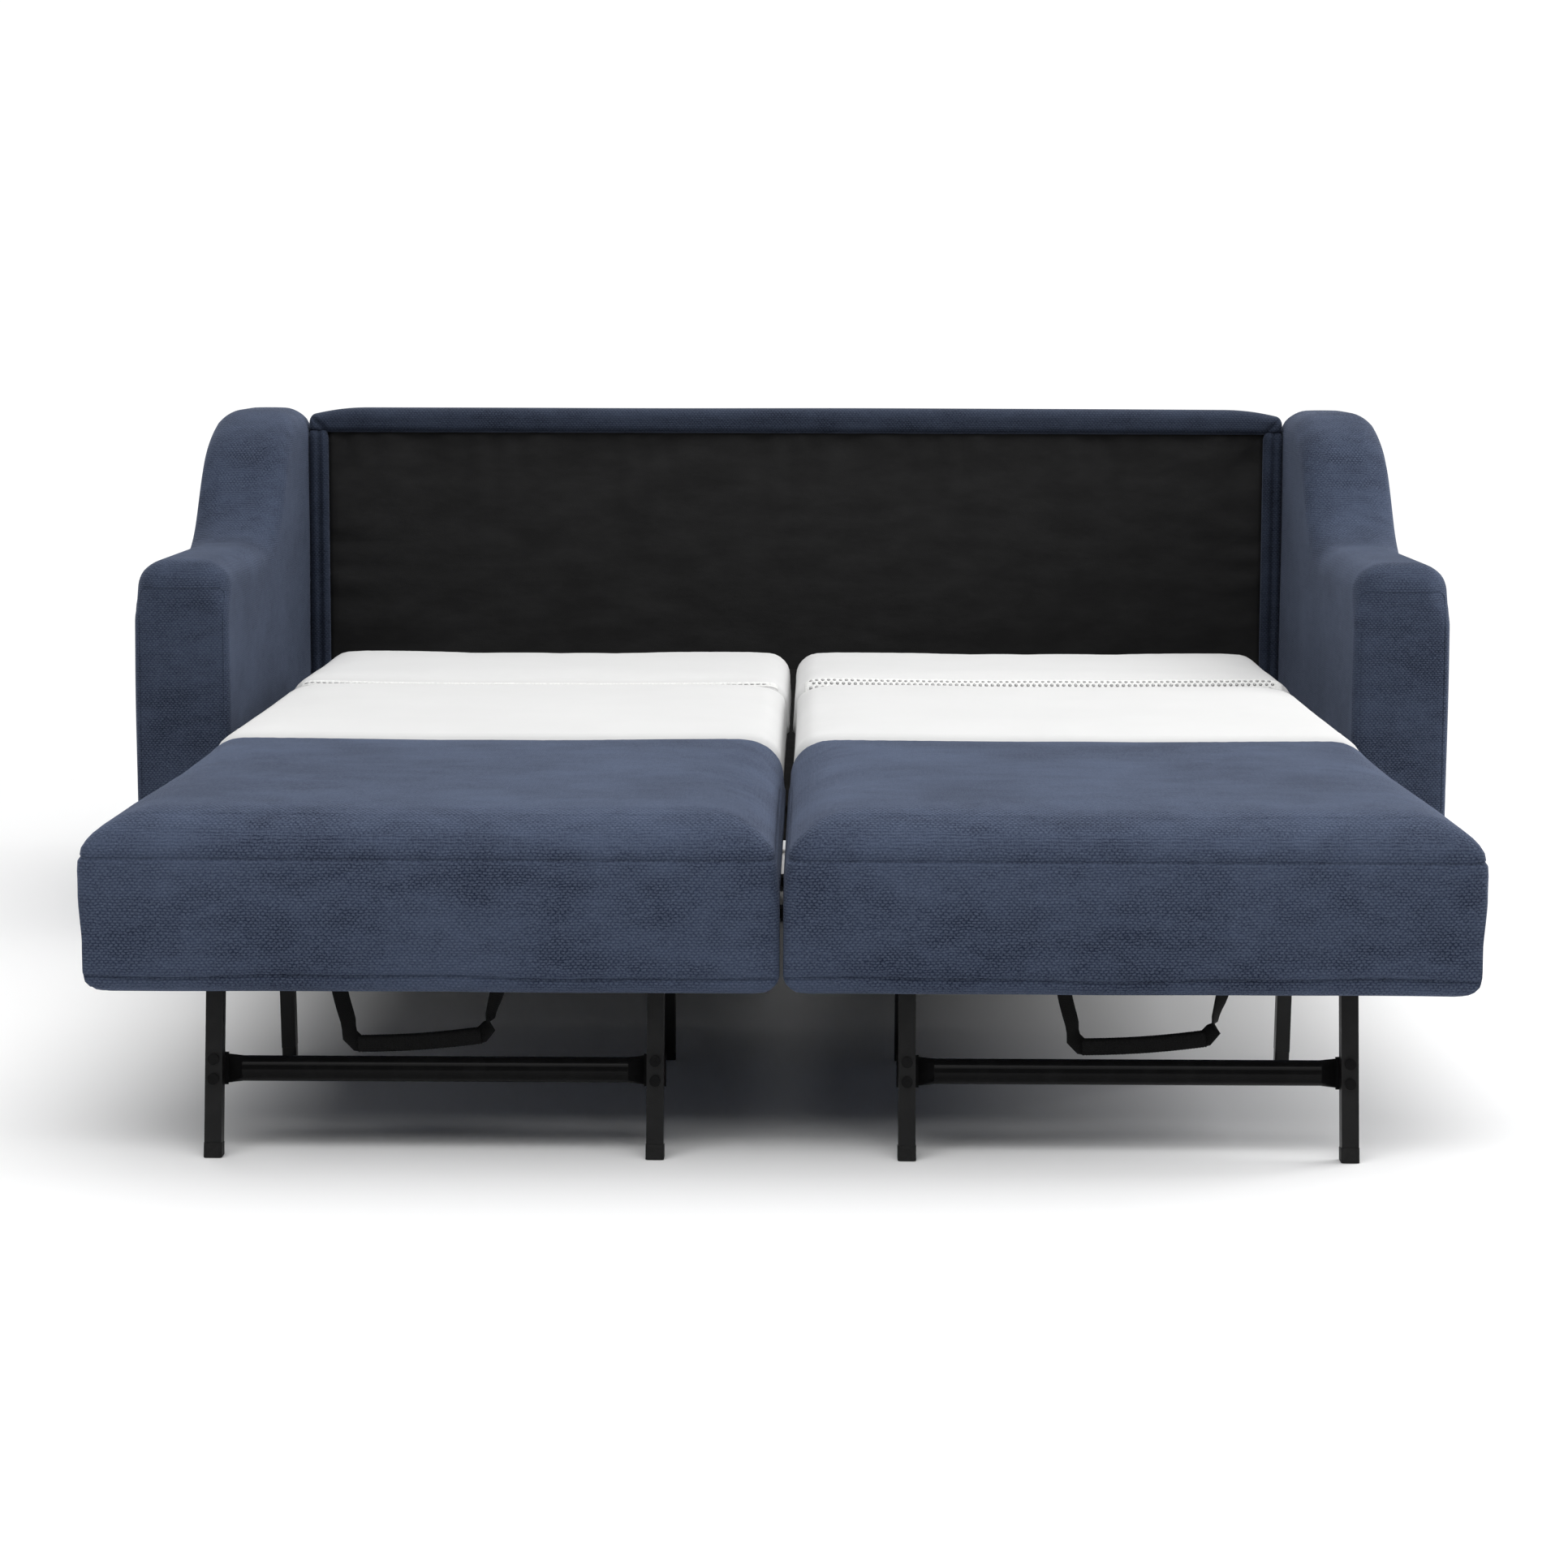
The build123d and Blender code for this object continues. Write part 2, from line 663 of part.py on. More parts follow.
def strap_webs(side):
    """Two hanging webbing ends of the pull strap."""
    solids = []
    for dx in (-STRAP_HALF, STRAP_HALF):
        x = side * STRAP_CENTRE_X + dx
        x0 = x - STRAP_WIDTH / 2
        y0 = STRAP_Y - STRAP_THICKNESS / 2
        z0 = GRIP_Z - GRIP_HEIGHT / 2 + 2
        solids.append(block(x0, x0 + STRAP_WIDTH, y0, y0 + STRAP_THICKNESS, z0, FRAME_BOTTOM_Z - 0.2))
    return solids


def grip_sleeve(side):
    """Thicker hand grip between the webbing ends."""
    x = side * STRAP_CENTRE_X
    half = STRAP_HALF - STRAP_WIDTH / 2 - 0.3
    deep = GRIP_DEPTH / 2
    high = GRIP_HEIGHT / 2
    body = block(x - half, x + half, STRAP_Y - deep, STRAP_Y + deep, GRIP_Z - high, GRIP_Z + high)
    along = [e for e in body.edges() if e.length > 100]
    return fillet(along, 5)


def build_base():
    """Arms, back and base, which stand still."""
    for side in (-1, 1):
        name = side_name(side)
        save(arm_upholstery(side), f"{name}_arm_upholstery")
        save_group(arm_boards(side) + arm_posts(side), f"{name}_arm_frame")
        save(back_side_padding(side), f"{name}_back_side_padding")
    save_group(arm_feet(), "arm_feet")
    save_group([base_side_rail(-1), base_side_rail(1)], "base_side_rails")
    save(back_top_rail(), "back_top_rail_padding")
    save(back_inner_panel(), "back_inner_panel")
    save_group(back_timber(), "back_timber_frame")
    save(back_outer_cover(), "back_outer_cover")
    save_group(base_rail_bolts(), "base_rail_bolts")
    save_group(base_cross_bars(), "base_cross_bars")
    save_group(base_bar_feet(), "base_glides")
    save_group(guide_channels(), "guide_channels")
    save(guide_rail(), "guide_board")


def build_rear_section(side):
    """Rear section, which sinks in its guides."""
    name = side_name(side)
    y0 = SEAM_REAR_Y + 12
    y1 = REAR_END_Y - 15.3
    save(rear_mattress(side), f"{name}_rear_mattress")
    save(vent_strip(side), f"{name}_seam_mesh")
    cross = [y0 + RAIL / 2 + 1]
    rear = rail_x(side * (REAR_SPAN[0] + 12), side * (REAR_SPAN[1] - 12), y1 - RAIL / 2,
                  FRAME_BOTTOM_Z + RAIL / 2)
    tubes = side_rails(side, REAR_SPAN, y0, y1 - 20.2) + cross_rails(side, REAR_SPAN, cross)
    save_group(tubes + [rear] + rear_tongues(side), f"{name}_rear_frame")
    save_group(slats(side, REAR_SPAN, (y0 + 90, y0 + 200, y0 + 310)), f"{name}_rear_slats")
    save_group(carriage_arms(side) + carriage_runners(side), f"{name}_lift_carriage")


def build_middle_section(side):
    """Middle section, which folds over onto the rear one."""
    name = side_name(side)
    y0 = STEEL_HINGE_Y + 14
    y1 = SEAM_REAR_Y - 16
    save(middle_mattress(side), f"{name}_middle_mattress")
    stations = (y0 + RAIL / 2 + 1, (y0 + y1) / 2, y1 - RAIL / 2 - 1)
    tubes = side_rails(side, MIDDLE_SPAN, y0, y1) + cross_rails(side, MIDDLE_SPAN, stations)
    save_group(tubes + middle_hinge_lugs(side), f"{name}_middle_frame")
    save_group(fold_pins(side), f"{name}_fold_pins")
    spots = [y0 + 85 + 95 * k for k in range(3)] + [(y0 + y1) / 2 + 65 + 90 * k for k in range(3)]
    save_group(slats(side, MIDDLE_SPAN, spots), f"{name}_middle_slats")


def build_front_section(side):
    """Front section, which becomes the seat, with its legs and strap."""
    name = side_name(side)
    y0 = FRONT_Y + BORDER_DEPTH + 1
    y1 = STEEL_HINGE_Y - 24
    save(front_mattress(side), f"{name}_front_mattress")
    save(front_border(side), f"{name}_front_border")
    first = front_leg_y(FRAME_BOTTOM_Z)
    stations = (first, y1 - RAIL / 2 - 1)
    tubes = side_rails(side, FRONT_SPAN, y0, y1) + cross_rails(side, FRONT_SPAN, stations)
    save_group(tubes + front_hinge_lugs(side), f"{name}_front_frame")
    spots = [first + 70, y1 - 80, y1 - 165]
    save_group(slats(side, FRONT_SPAN, spots), f"{name}_front_slats")
    save_group(front_legs(side), f"{name}_front_legs")
    save_group(front_leg_caps(side), f"{name}_front_leg_caps")
    save(front_crossbar(side), f"{name}_front_crossbar")
    save_group(crossbar_bolts(side), f"{name}_crossbar_bolts")
    save_group(strap_webs(side), f"{name}_pull_strap")
    save(grip_sleeve(side), f"{name}_grip_sleeve")
    save(rear_leg_rod(side), f"{name}_rear_leg_rod")
    save_group(rear_legs(side) + rear_leg_caps(side), f"{name}_rear_legs")


def main():
    os.makedirs("parts", exist_ok=True)
    build_base()
    for side in (-1, 1):
        build_rear_section(side)
        build_middle_section(side)
        build_front_section(side)


main()
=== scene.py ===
import math
import bpy
import numpy as np
from mathutils import Vector, Matrix
from mathutils.bvhtree import BVHTree
from mathutils.kdtree import KDTree


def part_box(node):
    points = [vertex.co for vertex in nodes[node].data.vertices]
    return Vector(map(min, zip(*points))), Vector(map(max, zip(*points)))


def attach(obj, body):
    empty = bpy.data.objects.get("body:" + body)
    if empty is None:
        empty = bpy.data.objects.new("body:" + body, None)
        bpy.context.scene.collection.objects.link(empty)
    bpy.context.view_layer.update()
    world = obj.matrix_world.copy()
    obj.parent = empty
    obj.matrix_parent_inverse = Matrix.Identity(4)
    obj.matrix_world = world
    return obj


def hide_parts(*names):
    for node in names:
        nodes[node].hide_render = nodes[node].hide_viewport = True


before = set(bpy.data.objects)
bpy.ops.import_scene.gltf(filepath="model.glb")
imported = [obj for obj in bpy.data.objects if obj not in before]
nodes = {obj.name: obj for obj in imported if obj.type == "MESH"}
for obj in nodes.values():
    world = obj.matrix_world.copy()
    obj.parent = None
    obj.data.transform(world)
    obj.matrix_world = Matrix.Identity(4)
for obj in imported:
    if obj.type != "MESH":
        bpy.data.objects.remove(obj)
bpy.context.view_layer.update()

SIDES = ("left", "right")


# ---------------------------------------------------------------- materials

def new_material(name):
    mat = bpy.data.materials.new(name)
    mat.use_nodes = True
    tree = mat.node_tree
    tree.nodes.clear()
    out = tree.nodes.new("ShaderNodeOutputMaterial")
    shader = tree.nodes.new("ShaderNodeBsdfPrincipled")
    tree.links.new(shader.outputs[0], out.inputs[0])
    return mat, tree, shader


def math_node(tree, operation, a, b=None):
    node = tree.nodes.new("ShaderNodeMath")
    node.operation = operation
    for socket, value in ((0, a), (1, b)):
        if value is None:
            continue
        if isinstance(value, (int, float)):
            node.inputs[socket].default_value = value
        else:
            tree.links.new(value, node.inputs[socket])
    return node.outputs[0]


def weighted_sum(tree, a, share_a, b, share_b):
    parts = [math_node(tree, "MULTIPLY", *pair) for pair in ((a, share_a), (b, share_b))]
    return math_node(tree, "ADD", *parts)


def noise_node(tree, coords, scale, detail=3.0, rough=0.5, stretch=None):
    node = tree.nodes.new("ShaderNodeTexNoise")
    node.inputs["Scale"].default_value = scale
    node.inputs["Detail"].default_value = detail
    node.inputs["Roughness"].default_value = rough
    source = coords
    if stretch is not None:
        mapping = tree.nodes.new("ShaderNodeMapping")
        mapping.inputs["Scale"].default_value = stretch
        tree.links.new(coords, mapping.inputs["Vector"])
        source = mapping.outputs[0]
    tree.links.new(source, node.inputs["Vector"])
    return node.outputs[0]


def mix_colour(tree, factor, a, b):
    node = tree.nodes.new("ShaderNodeMix")
    node.data_type = "RGBA"
    for socket, value in ((0, factor), (6, a), (7, b)):
        if isinstance(value, (int, float)):
            node.inputs[socket].default_value = value
        elif isinstance(value, tuple):
            node.inputs[socket].default_value = (value[0], value[1], value[2], 1)
        else:
            tree.links.new(value, node.inputs[socket])
    return node.outputs[2]


def ramp(tree, value, low, high):
    node = tree.nodes.new("ShaderNodeMapRange")
    node.inputs["From Min"].default_value = low
    node.inputs["From Max"].default_value = high
    tree.links.new(value, node.inputs["Value"])
    return node.outputs[0]


def bump_node(tree, height, strength, distance):
    node = tree.nodes.new("ShaderNodeBump")
    node.inputs["Strength"].default_value = strength
    node.inputs["Distance"].default_value = distance
    tree.links.new(height, node.inputs["Height"])
    return node.outputs[0]


def brick(tree, along, across, length, width):
    """Rounded woven cells in rows that are offset by half a cell."""
    row = math_node(tree, "DIVIDE", across, width)
    odd = math_node(tree, "FLOORED_MODULO", math_node(tree, "FLOOR", row), 2.0)
    shift = math_node(tree, "MULTIPLY", odd, 0.5)
    column = math_node(tree, "ADD", math_node(tree, "DIVIDE", along, length), shift)
    high = math_node(tree, "ABSOLUTE", math_node(tree, "SINE", math_node(tree, "MULTIPLY", row, math.pi)))
    wide = math_node(tree, "ABSOLUTE", math_node(tree, "SINE", math_node(tree, "MULTIPLY", column, math.pi)))
    return math_node(tree, "POWER", math_node(tree, "MULTIPLY", high, wide), 0.6)


def weave_height(tree, length, width, wobble):
    """Woven cells on faces of every direction, chosen by the way the surface faces."""
    place = tree.nodes.new("ShaderNodeTexCoord")
    wob = tree.nodes.new("ShaderNodeTexNoise")
    wob.inputs["Scale"].default_value = 60.0
    wob.inputs["Detail"].default_value = 2.0
    tree.links.new(place.outputs["Object"], wob.inputs["Vector"])
    shift = tree.nodes.new("ShaderNodeVectorMath")
    shift.operation = "MULTIPLY_ADD"
    tree.links.new(wob.outputs["Color"], shift.inputs[0])
    shift.inputs[1].default_value = (wobble,) * 3
    tree.links.new(place.outputs["Object"], shift.inputs[2])
    part = tree.nodes.new("ShaderNodeSeparateXYZ")
    tree.links.new(shift.outputs[0], part.inputs[0])
    facing = tree.nodes.new("ShaderNodeSeparateXYZ")
    tree.links.new(place.outputs["Normal"], facing.inputs[0])
    total = None
    for axis, (along, across) in enumerate(((1, 2), (0, 2), (0, 1))):
        weight = math_node(tree, "MULTIPLY", facing.outputs[axis], facing.outputs[axis])
        cell = brick(tree, part.outputs[along], part.outputs[across], length, width)
        term = math_node(tree, "MULTIPLY", weight, cell)
        total = term if total is None else math_node(tree, "ADD", total, term)
    return place.outputs["Object"], total


def fabric_blue(name, dark=1.0):
    """Dusty blue chenille: brushed nap in clouds over a coarse brick weave."""
    mat, tree, shader = new_material(name)
    coords, weave = weave_height(tree, 0.0058, 0.0034, 0.004)
    cloud = noise_node(tree, coords, 5.5, 4.0, 0.6, (1.0, 1.0, 1.5))
    stroke = noise_node(tree, coords, 17.0, 5.0, 0.62, (1.0, 2.0, 2.4))
    fleck = noise_node(tree, coords, 330.0, 2.0, 0.7, (1.0, 1.0, 2.0))
    nap = ramp(tree, weighted_sum(tree, cloud, 0.6, stroke, 0.4), 0.39, 0.61)
    # dark scales all three colours down; the arm and back copies use it to paint shade
    low = tuple(dark * c for c in (0.0140, 0.0195, 0.0395))
    high = tuple(dark * c for c in (0.0430, 0.0575, 0.0980))
    # raised weave cells turn lighter as a painted highlight on the threads; the fine flecks add random
    # thread tone
    bright = tuple(dark * c for c in (0.098, 0.122, 0.178))
    base = mix_colour(tree, nap, low, high)
    thread = weighted_sum(tree, weave, 0.45, fleck, 0.9)
    colour = mix_colour(tree, ramp(tree, thread, 0.50, 1.15), base, bright)
    tree.links.new(colour, shader.inputs["Base Color"])
    shader.inputs["Roughness"].default_value = 0.92
    shader.inputs["Sheen Weight"].default_value = 0.22
    shader.inputs["Sheen Roughness"].default_value = 0.35
    shader.inputs["Sheen Tint"].default_value = (0.50, 0.58, 0.80, 1)
    shader.inputs["Specular IOR Level"].default_value = 0.10
    height = math_node(tree, "ADD", weave, math_node(tree, "MULTIPLY", fleck, 0.8))
    tree.links.new(bump_node(tree, height, 0.6, 0.0011), shader.inputs["Normal"])
    return mat


def fabric_white(name):
    """White knitted ticking with a fine weave and soft dents."""
    mat, tree, shader = new_material(name)
    coords, weave = weave_height(tree, 0.0024, 0.0020, 0.002)
    cloud = noise_node(tree, coords, 6.0, 3.0, 0.5)
    soft = noise_node(tree, coords, 24.0, 3.0, 0.5)
    base = mix_colour(tree, cloud, (0.560, 0.560, 0.558), (0.612, 0.612, 0.609))
    grain = ramp(tree, weave, 0.0, 1.0)
    colour = mix_colour(tree, math_node(tree, "MULTIPLY", grain, 0.12), base, (0.50, 0.50, 0.50))
    tree.links.new(colour, shader.inputs["Base Color"])
    shader.inputs["Roughness"].default_value = 0.9
    shader.inputs["Sheen Weight"].default_value = 0.15
    shader.inputs["Specular IOR Level"].default_value = 0.2
    height = weighted_sum(tree, weave, 0.15, soft, 1.5)
    tree.links.new(bump_node(tree, height, 0.35, 0.0015), shader.inputs["Normal"])
    return mat


def lining_black(name):
    """Matte black cloth with soft creases, its colour painted darker in the crease valleys as shade."""
    mat, tree, shader = new_material(name)
    place = tree.nodes.new("ShaderNodeTexCoord").outputs["Object"]
    fibre = noise_node(tree, place, 700.0, 2.0, 0.6)
    crease = noise_node(tree, place, 9.0, 4.0, 0.55, (1.0, 1.0, 2.4))
    # the colour follows the crease height, darker in the valleys: painted crease shade
    tone_mask = ramp(tree, crease, 0.35, 0.7)
    colour = mix_colour(tree, tone_mask, (0.0120, 0.0120, 0.0122), (0.0185, 0.0185, 0.0188))
    tree.links.new(colour, shader.inputs["Base Color"])
    shader.inputs["Roughness"].default_value = 0.75
    shader.inputs["Specular IOR Level"].default_value = 0.12
    height = math_node(tree, "ADD", math_node(tree, "MULTIPLY", fibre, 0.15), crease)
    tree.links.new(bump_node(tree, height, 0.35, 0.004), shader.inputs["Normal"])
    return mat


def painted_black(name, rough, peel, level):
    """Black paint: peel is the height of its orange peel, level its reflection."""
    mat, tree, shader = new_material(name)
    place = tree.nodes.new("ShaderNodeTexCoord").outputs["Object"]
    orange = noise_node(tree, place, 260.0, 2.0, 0.5)
    wear = noise_node(tree, place, 30.0, 5.0, 0.7)
    tone_mask = ramp(tree, wear, 0.45, 0.8)
    colour = mix_colour(tree, tone_mask, (0.0050, 0.0050, 0.0052), (0.0090, 0.0090, 0.0093))
    tree.links.new(colour, shader.inputs["Base Color"])
    rough_value = math_node(tree, "ADD", math_node(tree, "MULTIPLY", wear, 0.16), rough - 0.08)
    tree.links.new(rough_value, shader.inputs["Roughness"])
    shader.inputs["Specular IOR Level"].default_value = level
    tree.links.new(bump_node(tree, orange, peel, 0.0004), shader.inputs["Normal"])
    return mat


def plain_fibre(name, dark, light, scale, rough, stretch=None):
    """Wood, plastic, thread or zinc: two tones broken by a fine grain."""
    mat, tree, shader = new_material(name)
    place = tree.nodes.new("ShaderNodeTexCoord").outputs["Object"]
    grain = noise_node(tree, place, scale, 5.0, 0.6, stretch)
    colour = mix_colour(tree, ramp(tree, grain, 0.35, 0.68), dark, light)
    tree.links.new(colour, shader.inputs["Base Color"])
    shader.inputs["Roughness"].default_value = rough
    shader.inputs["Specular IOR Level"].default_value = 0.25
    tree.links.new(bump_node(tree, grain, 0.3, 0.0008), shader.inputs["Normal"])
    return mat


def webbing_black(name, length, width):
    """Black webbing woven in cells of a length and width."""
    mat, tree, shader = new_material(name)
    coords, weave = weave_height(tree, length, width, 0.0008)
    fleck = noise_node(tree, coords, 500.0, 2.0, 0.6)
    raised = ramp(tree, weave, 0.1, 1.0)
    colour = mix_colour(tree, raised, (0.0025, 0.0025, 0.0026), (0.0085, 0.0085, 0.0088))
    tree.links.new(colour, shader.inputs["Base Color"])
    shader.inputs["Roughness"].default_value = 0.75
    shader.inputs["Specular IOR Level"].default_value = 0.12
    height = math_node(tree, "ADD", weave, math_node(tree, "MULTIPLY", fleck, 0.4))
    tree.links.new(bump_node(tree, height, 0.6, 0.0010), shader.inputs["Normal"])
    return mat


WOOD_GRAIN = (1.0, 9.0, 9.0)

BLUE = fabric_blue("blue_chenille")
# Darker copies of the blue cloth paint shade: the arms at 0.80 and the back's rail and side strips at 0.50
# of its colour
BLUE_ARM_SHADED = fabric_blue("blue_chenille_arm_shaded", dark=0.80)
BLUE_BACK_SHADED = fabric_blue("blue_chenille_back_shaded", dark=0.50)
BLUE_SEAM = fabric_blue("blue_seam", dark=0.9)
WHITE = fabric_white("white_ticking")
WHITE_SEAM = plain_fibre("white_thread", (0.62, 0.62, 0.61), (0.78, 0.78, 0.77), scale=300, rough=0.85)
# grey for the mesh holes is painted shade inside the openings; on the left the same grey marks the stitches
MESH_HOLE = plain_fibre("mesh_hole", (0.34, 0.34, 0.34), (0.46, 0.46, 0.46), scale=300, rough=0.9)
LINING = lining_black("black_lining")
STEEL = painted_black("black_steel", rough=0.34, peel=0.25, level=0.34)
GLOSS = painted_black("black_gloss", rough=0.16, peel=0.08, level=0.06)
BOLT = painted_black("black_bolt", rough=0.16, peel=0.06, level=0.35)
PLASTIC = plain_fibre("black_plastic", (0.006, 0.006, 0.006), (0.011, 0.011, 0.011), scale=180, rough=0.6)
ZINC = plain_fibre("dark_zinc", (0.014, 0.014, 0.0145), (0.028, 0.028, 0.029), scale=120, rough=0.32)
TIMBER = plain_fibre("timber", (0.36, 0.22, 0.10), (0.55, 0.38, 0.21), 22, 0.7, WOOD_GRAIN)
# timber painted near black as shade: it darkens the slats and guide board under the bed and makes the back
# frame's showing edges read as shadow gaps
SHADE_TIMBER = plain_fibre("timber_painted_shade", (0.008, 0.008, 0.008), (0.016, 0.0155, 0.015), 22, 0.7, WOOD_GRAIN)
WEBBING = webbing_black("black_webbing", length=0.0024, width=0.0016)


# ---------------------------------------------------------------- mesh tools

def make_object(name, verts, faces, material):
    """A smooth mesh object from points and faces."""
    mesh = bpy.data.meshes.new(name)
    mesh.from_pydata([tuple(v) for v in verts], [], [tuple(f) for f in faces])
    mesh.validate()
    mesh.update()
    mesh.materials.append(material)
    mesh.polygons.foreach_set("use_smooth", [True] * len(mesh.polygons))
    obj = bpy.data.objects.new(name, mesh)
    bpy.context.scene.collection.objects.link(obj)
    return obj


def grid_box(xs, ys, zs):
    """Closed box surface with grid lines at the given places."""
    nx, ny, nz = len(xs), len(ys), len(zs)
    index = -np.ones((nx, ny, nz), dtype=int)
    shell = np.zeros((nx, ny, nz), dtype=bool)
    shell[0], shell[-1] = True, True
    shell[:, 0], shell[:, -1] = True, True
    shell[:, :, 0], shell[:, :, -1] = True, True
    spots = np.argwhere(shell)
    index[shell] = np.arange(len(spots))
    verts = np.column_stack([np.asarray(line)[spots[:, i]] for i, line in enumerate((xs, ys, zs))])
    faces = []

    def sheet(ids, flip):
        a, b, c, d = ids[:-1, :-1], ids[1:, :-1], ids[1:, 1:], ids[:-1, 1:]
        quads = np.stack((a, b, c, d), axis=-1).reshape(-1, 4)
        faces.append(quads[:, ::-1] if flip else quads)

    sheet(index[:, :, -1], False)
    sheet(index[:, :, 0], True)
    sheet(index[:, 0, :], False)
    sheet(index[:, -1, :], True)
    sheet(index[0, :, :], True)
    sheet(index[-1, :, :], False)
    return verts, np.concatenate(faces)


def lines(low, high, step, extra=()):
    """Evenly spaced grid lines with closer ones around some places."""
    close = 0.002
    count = max(2, int(round((high - low) / step)) + 1)
    values = list(np.linspace(low, high, count))
    for place in extra:
        values = [v for v in values if abs(v - place) > 2.25 * close]
        values += [place - 2 * close, place - close, place, place + close, place + 2 * close]
    return np.array(sorted(v for v in values if low - 1e-9 <= v <= high + 1e-9))


def round_box(p, low, high, radius_x, radius_y, radius_top, radius_bottom, square=2.0):
    """Pull box surface points onto elliptical edges; square over 2 sharpens the upright corners."""
    mid = (low[2] + high[2]) / 2
    rz = np.where(p[:, 2] > mid, radius_top, radius_bottom)
    radii = np.column_stack((np.broadcast_to(radius_x, len(p)), np.broadcast_to(radius_y, len(p)), rz))
    inner = np.clip(p, np.asarray(low) + radii, np.asarray(high) - radii)
    d = np.clip((p - inner) / radii, -1, 1)
    d = np.tan(d * math.pi / 4)
    plan = (np.abs(d[:, 0]) ** square + np.abs(d[:, 1]) ** square) ** (1 / square)
    size = np.hypot(plan, d[:, 2])
    size[size == 0] = 1
    return inner + d / size[:, None] * radii


def ripple(p, seed, scale):
    """Smooth repeatable wobble between about -1 and 1."""
    rng = np.random.default_rng(seed)
    total = np.zeros(len(p))
    for octave in range(5):
        k = rng.normal(size=3)
        k = k / np.linalg.norm(k) * scale * (1 + 0.55 * octave)
        total += np.sin(p @ k + rng.uniform(0, 6.28)) / (1 + 0.5 * octave)
    return total / 3


def bell(value, centre, width):
    """1 at the centre, fading to 0 over about the width."""
    return np.exp(-((value - centre) / width) ** 2)


def path_frame(pts, i, side_hint):
    """Two directions across a path at one of its points; the second lies near the hint."""
    along = (pts[min(i + 1, len(pts) - 1)] - pts[max(i - 1, 0)]).normalized()
    normal = along.cross(side_hint).normalized()
    return normal, normal.cross(along).normalized()


def tube_along(name, points, radius, material):
    """Thin round cord through a list of points."""
    pts = [Vector(q) for q in points]
    verts, faces = [], []
    count = len(pts)
    ring = 6
    up = Vector((0.31, 0.22, 0.93))
    for i, q in enumerate(pts):
        n, up = path_frame(pts, i, up)
        for k in range(ring):
            angle = 2 * math.pi * k / ring
            verts.append(q + n * math.cos(angle) * radius + up * math.sin(angle) * radius)
    for i in range(count - 1):
        a, b = i * ring, (i + 1) * ring
        for k in range(ring):
            j = (k + 1) % ring
            faces.append((a + k, b + k, b + j, a + j))
    faces.append(tuple(range(ring - 1, -1, -1)))
    faces.append(tuple((count - 1) * ring + k for k in range(ring)))
    return make_object(name, verts, faces, material)


def band_along(name, points, width_dir, width, thickness, material):
    """Flat strap through points; width_dir gives its broad direction at each point."""
    pts = [Vector(q) for q in points]
    verts, faces = [], []
    count = len(pts)
    ring = 12
    boxiness = 0.45
    for i, q in enumerate(pts):
        n, w = path_frame(pts, i, Vector(width_dir[i]).normalized())
        for k in range(ring):
            angle = 2 * math.pi * (k + 0.5) / ring
            c, s = math.cos(angle), math.sin(angle)
            across = math.copysign(abs(c) ** boxiness, c) * width[i] / 2
            through = math.copysign(abs(s) ** boxiness, s) * thickness[i] / 2
            verts.append(q + w * across + n * through)
    for i in range(count - 1):
        a, b = i * ring, (i + 1) * ring
        for k in range(ring):
            j = (k + 1) % ring
            faces.append((a + k, a + j, b + j, b + k))
    faces.append(tuple(range(ring)))
    faces.append(tuple((count - 1) * ring + k for k in range(ring - 1, -1, -1)))
    return make_object(name, verts, faces, material)


# ---------------------------------------------------------------- bed sections

SWELL_CAP = 0.009
SWELL_SHARE = (0.5, 0.5, 1.0)
SWELL_FRAMES = 14
SWELL_GRID = 0.018
SWELL_PRESSURE = 4.0
SWELL_FLAT_RISE = 0.05


def inset_box(low, high):
    """The box a section starts from, lower than its CAD box by the room to swell."""
    return np.array(low), np.array(high) - np.array((0, 0, SWELL_CAP))


def inflate(start, faces):
    """Blow a cloth pad up under pressure and return how far each point moves."""
    pad = make_object("swelling_pad", start, faces, WHITE)
    cloth = pad.modifiers.new("cloth", "CLOTH")
    cloth.settings.quality = 5
    cloth.settings.mass = 0.3
    cloth.settings.tension_stiffness = 12
    cloth.settings.compression_stiffness = 12
    cloth.settings.shear_stiffness = 4
    cloth.settings.bending_stiffness = 0.6
    cloth.settings.use_pressure = True
    cloth.settings.uniform_pressure_force = SWELL_PRESSURE
    cloth.settings.effector_weights.gravity = 0
    cloth.collision_settings.use_collision = False
    scene = bpy.context.scene
    for number in range(1, SWELL_FRAMES + 1):
        scene.frame_set(number)
    shaped = pad.evaluated_get(bpy.context.evaluated_depsgraph_get()).data
    end = np.empty(len(shaped.vertices) * 3)
    shaped.vertices.foreach_get("co", end)
    mesh = pad.data
    bpy.data.objects.remove(pad)
    bpy.data.meshes.remove(mesh)
    scene.frame_set(1)
    return end.reshape(-1, 3) - start


def swell_field(low, high):
    """Points of a swelling pad and their movement, capped."""
    start_low, start_high = inset_box(low, high)
    verts, faces = grid_box(*(lines(start_low[i], start_high[i], SWELL_GRID) for i in range(3)))
    start = round_box(verts, start_low, start_high, 0.030, 0.030, 0.030, 0.012)
    move = inflate(start, faces)
    length = np.linalg.norm(move, axis=1)
    move *= (np.minimum(length, SWELL_CAP) / np.maximum(length, 1e-9))[:, None]
    tree = KDTree(len(start))
    for i, q in enumerate(start):
        tree.insert(q, i)
    tree.balance()
    return tree, move


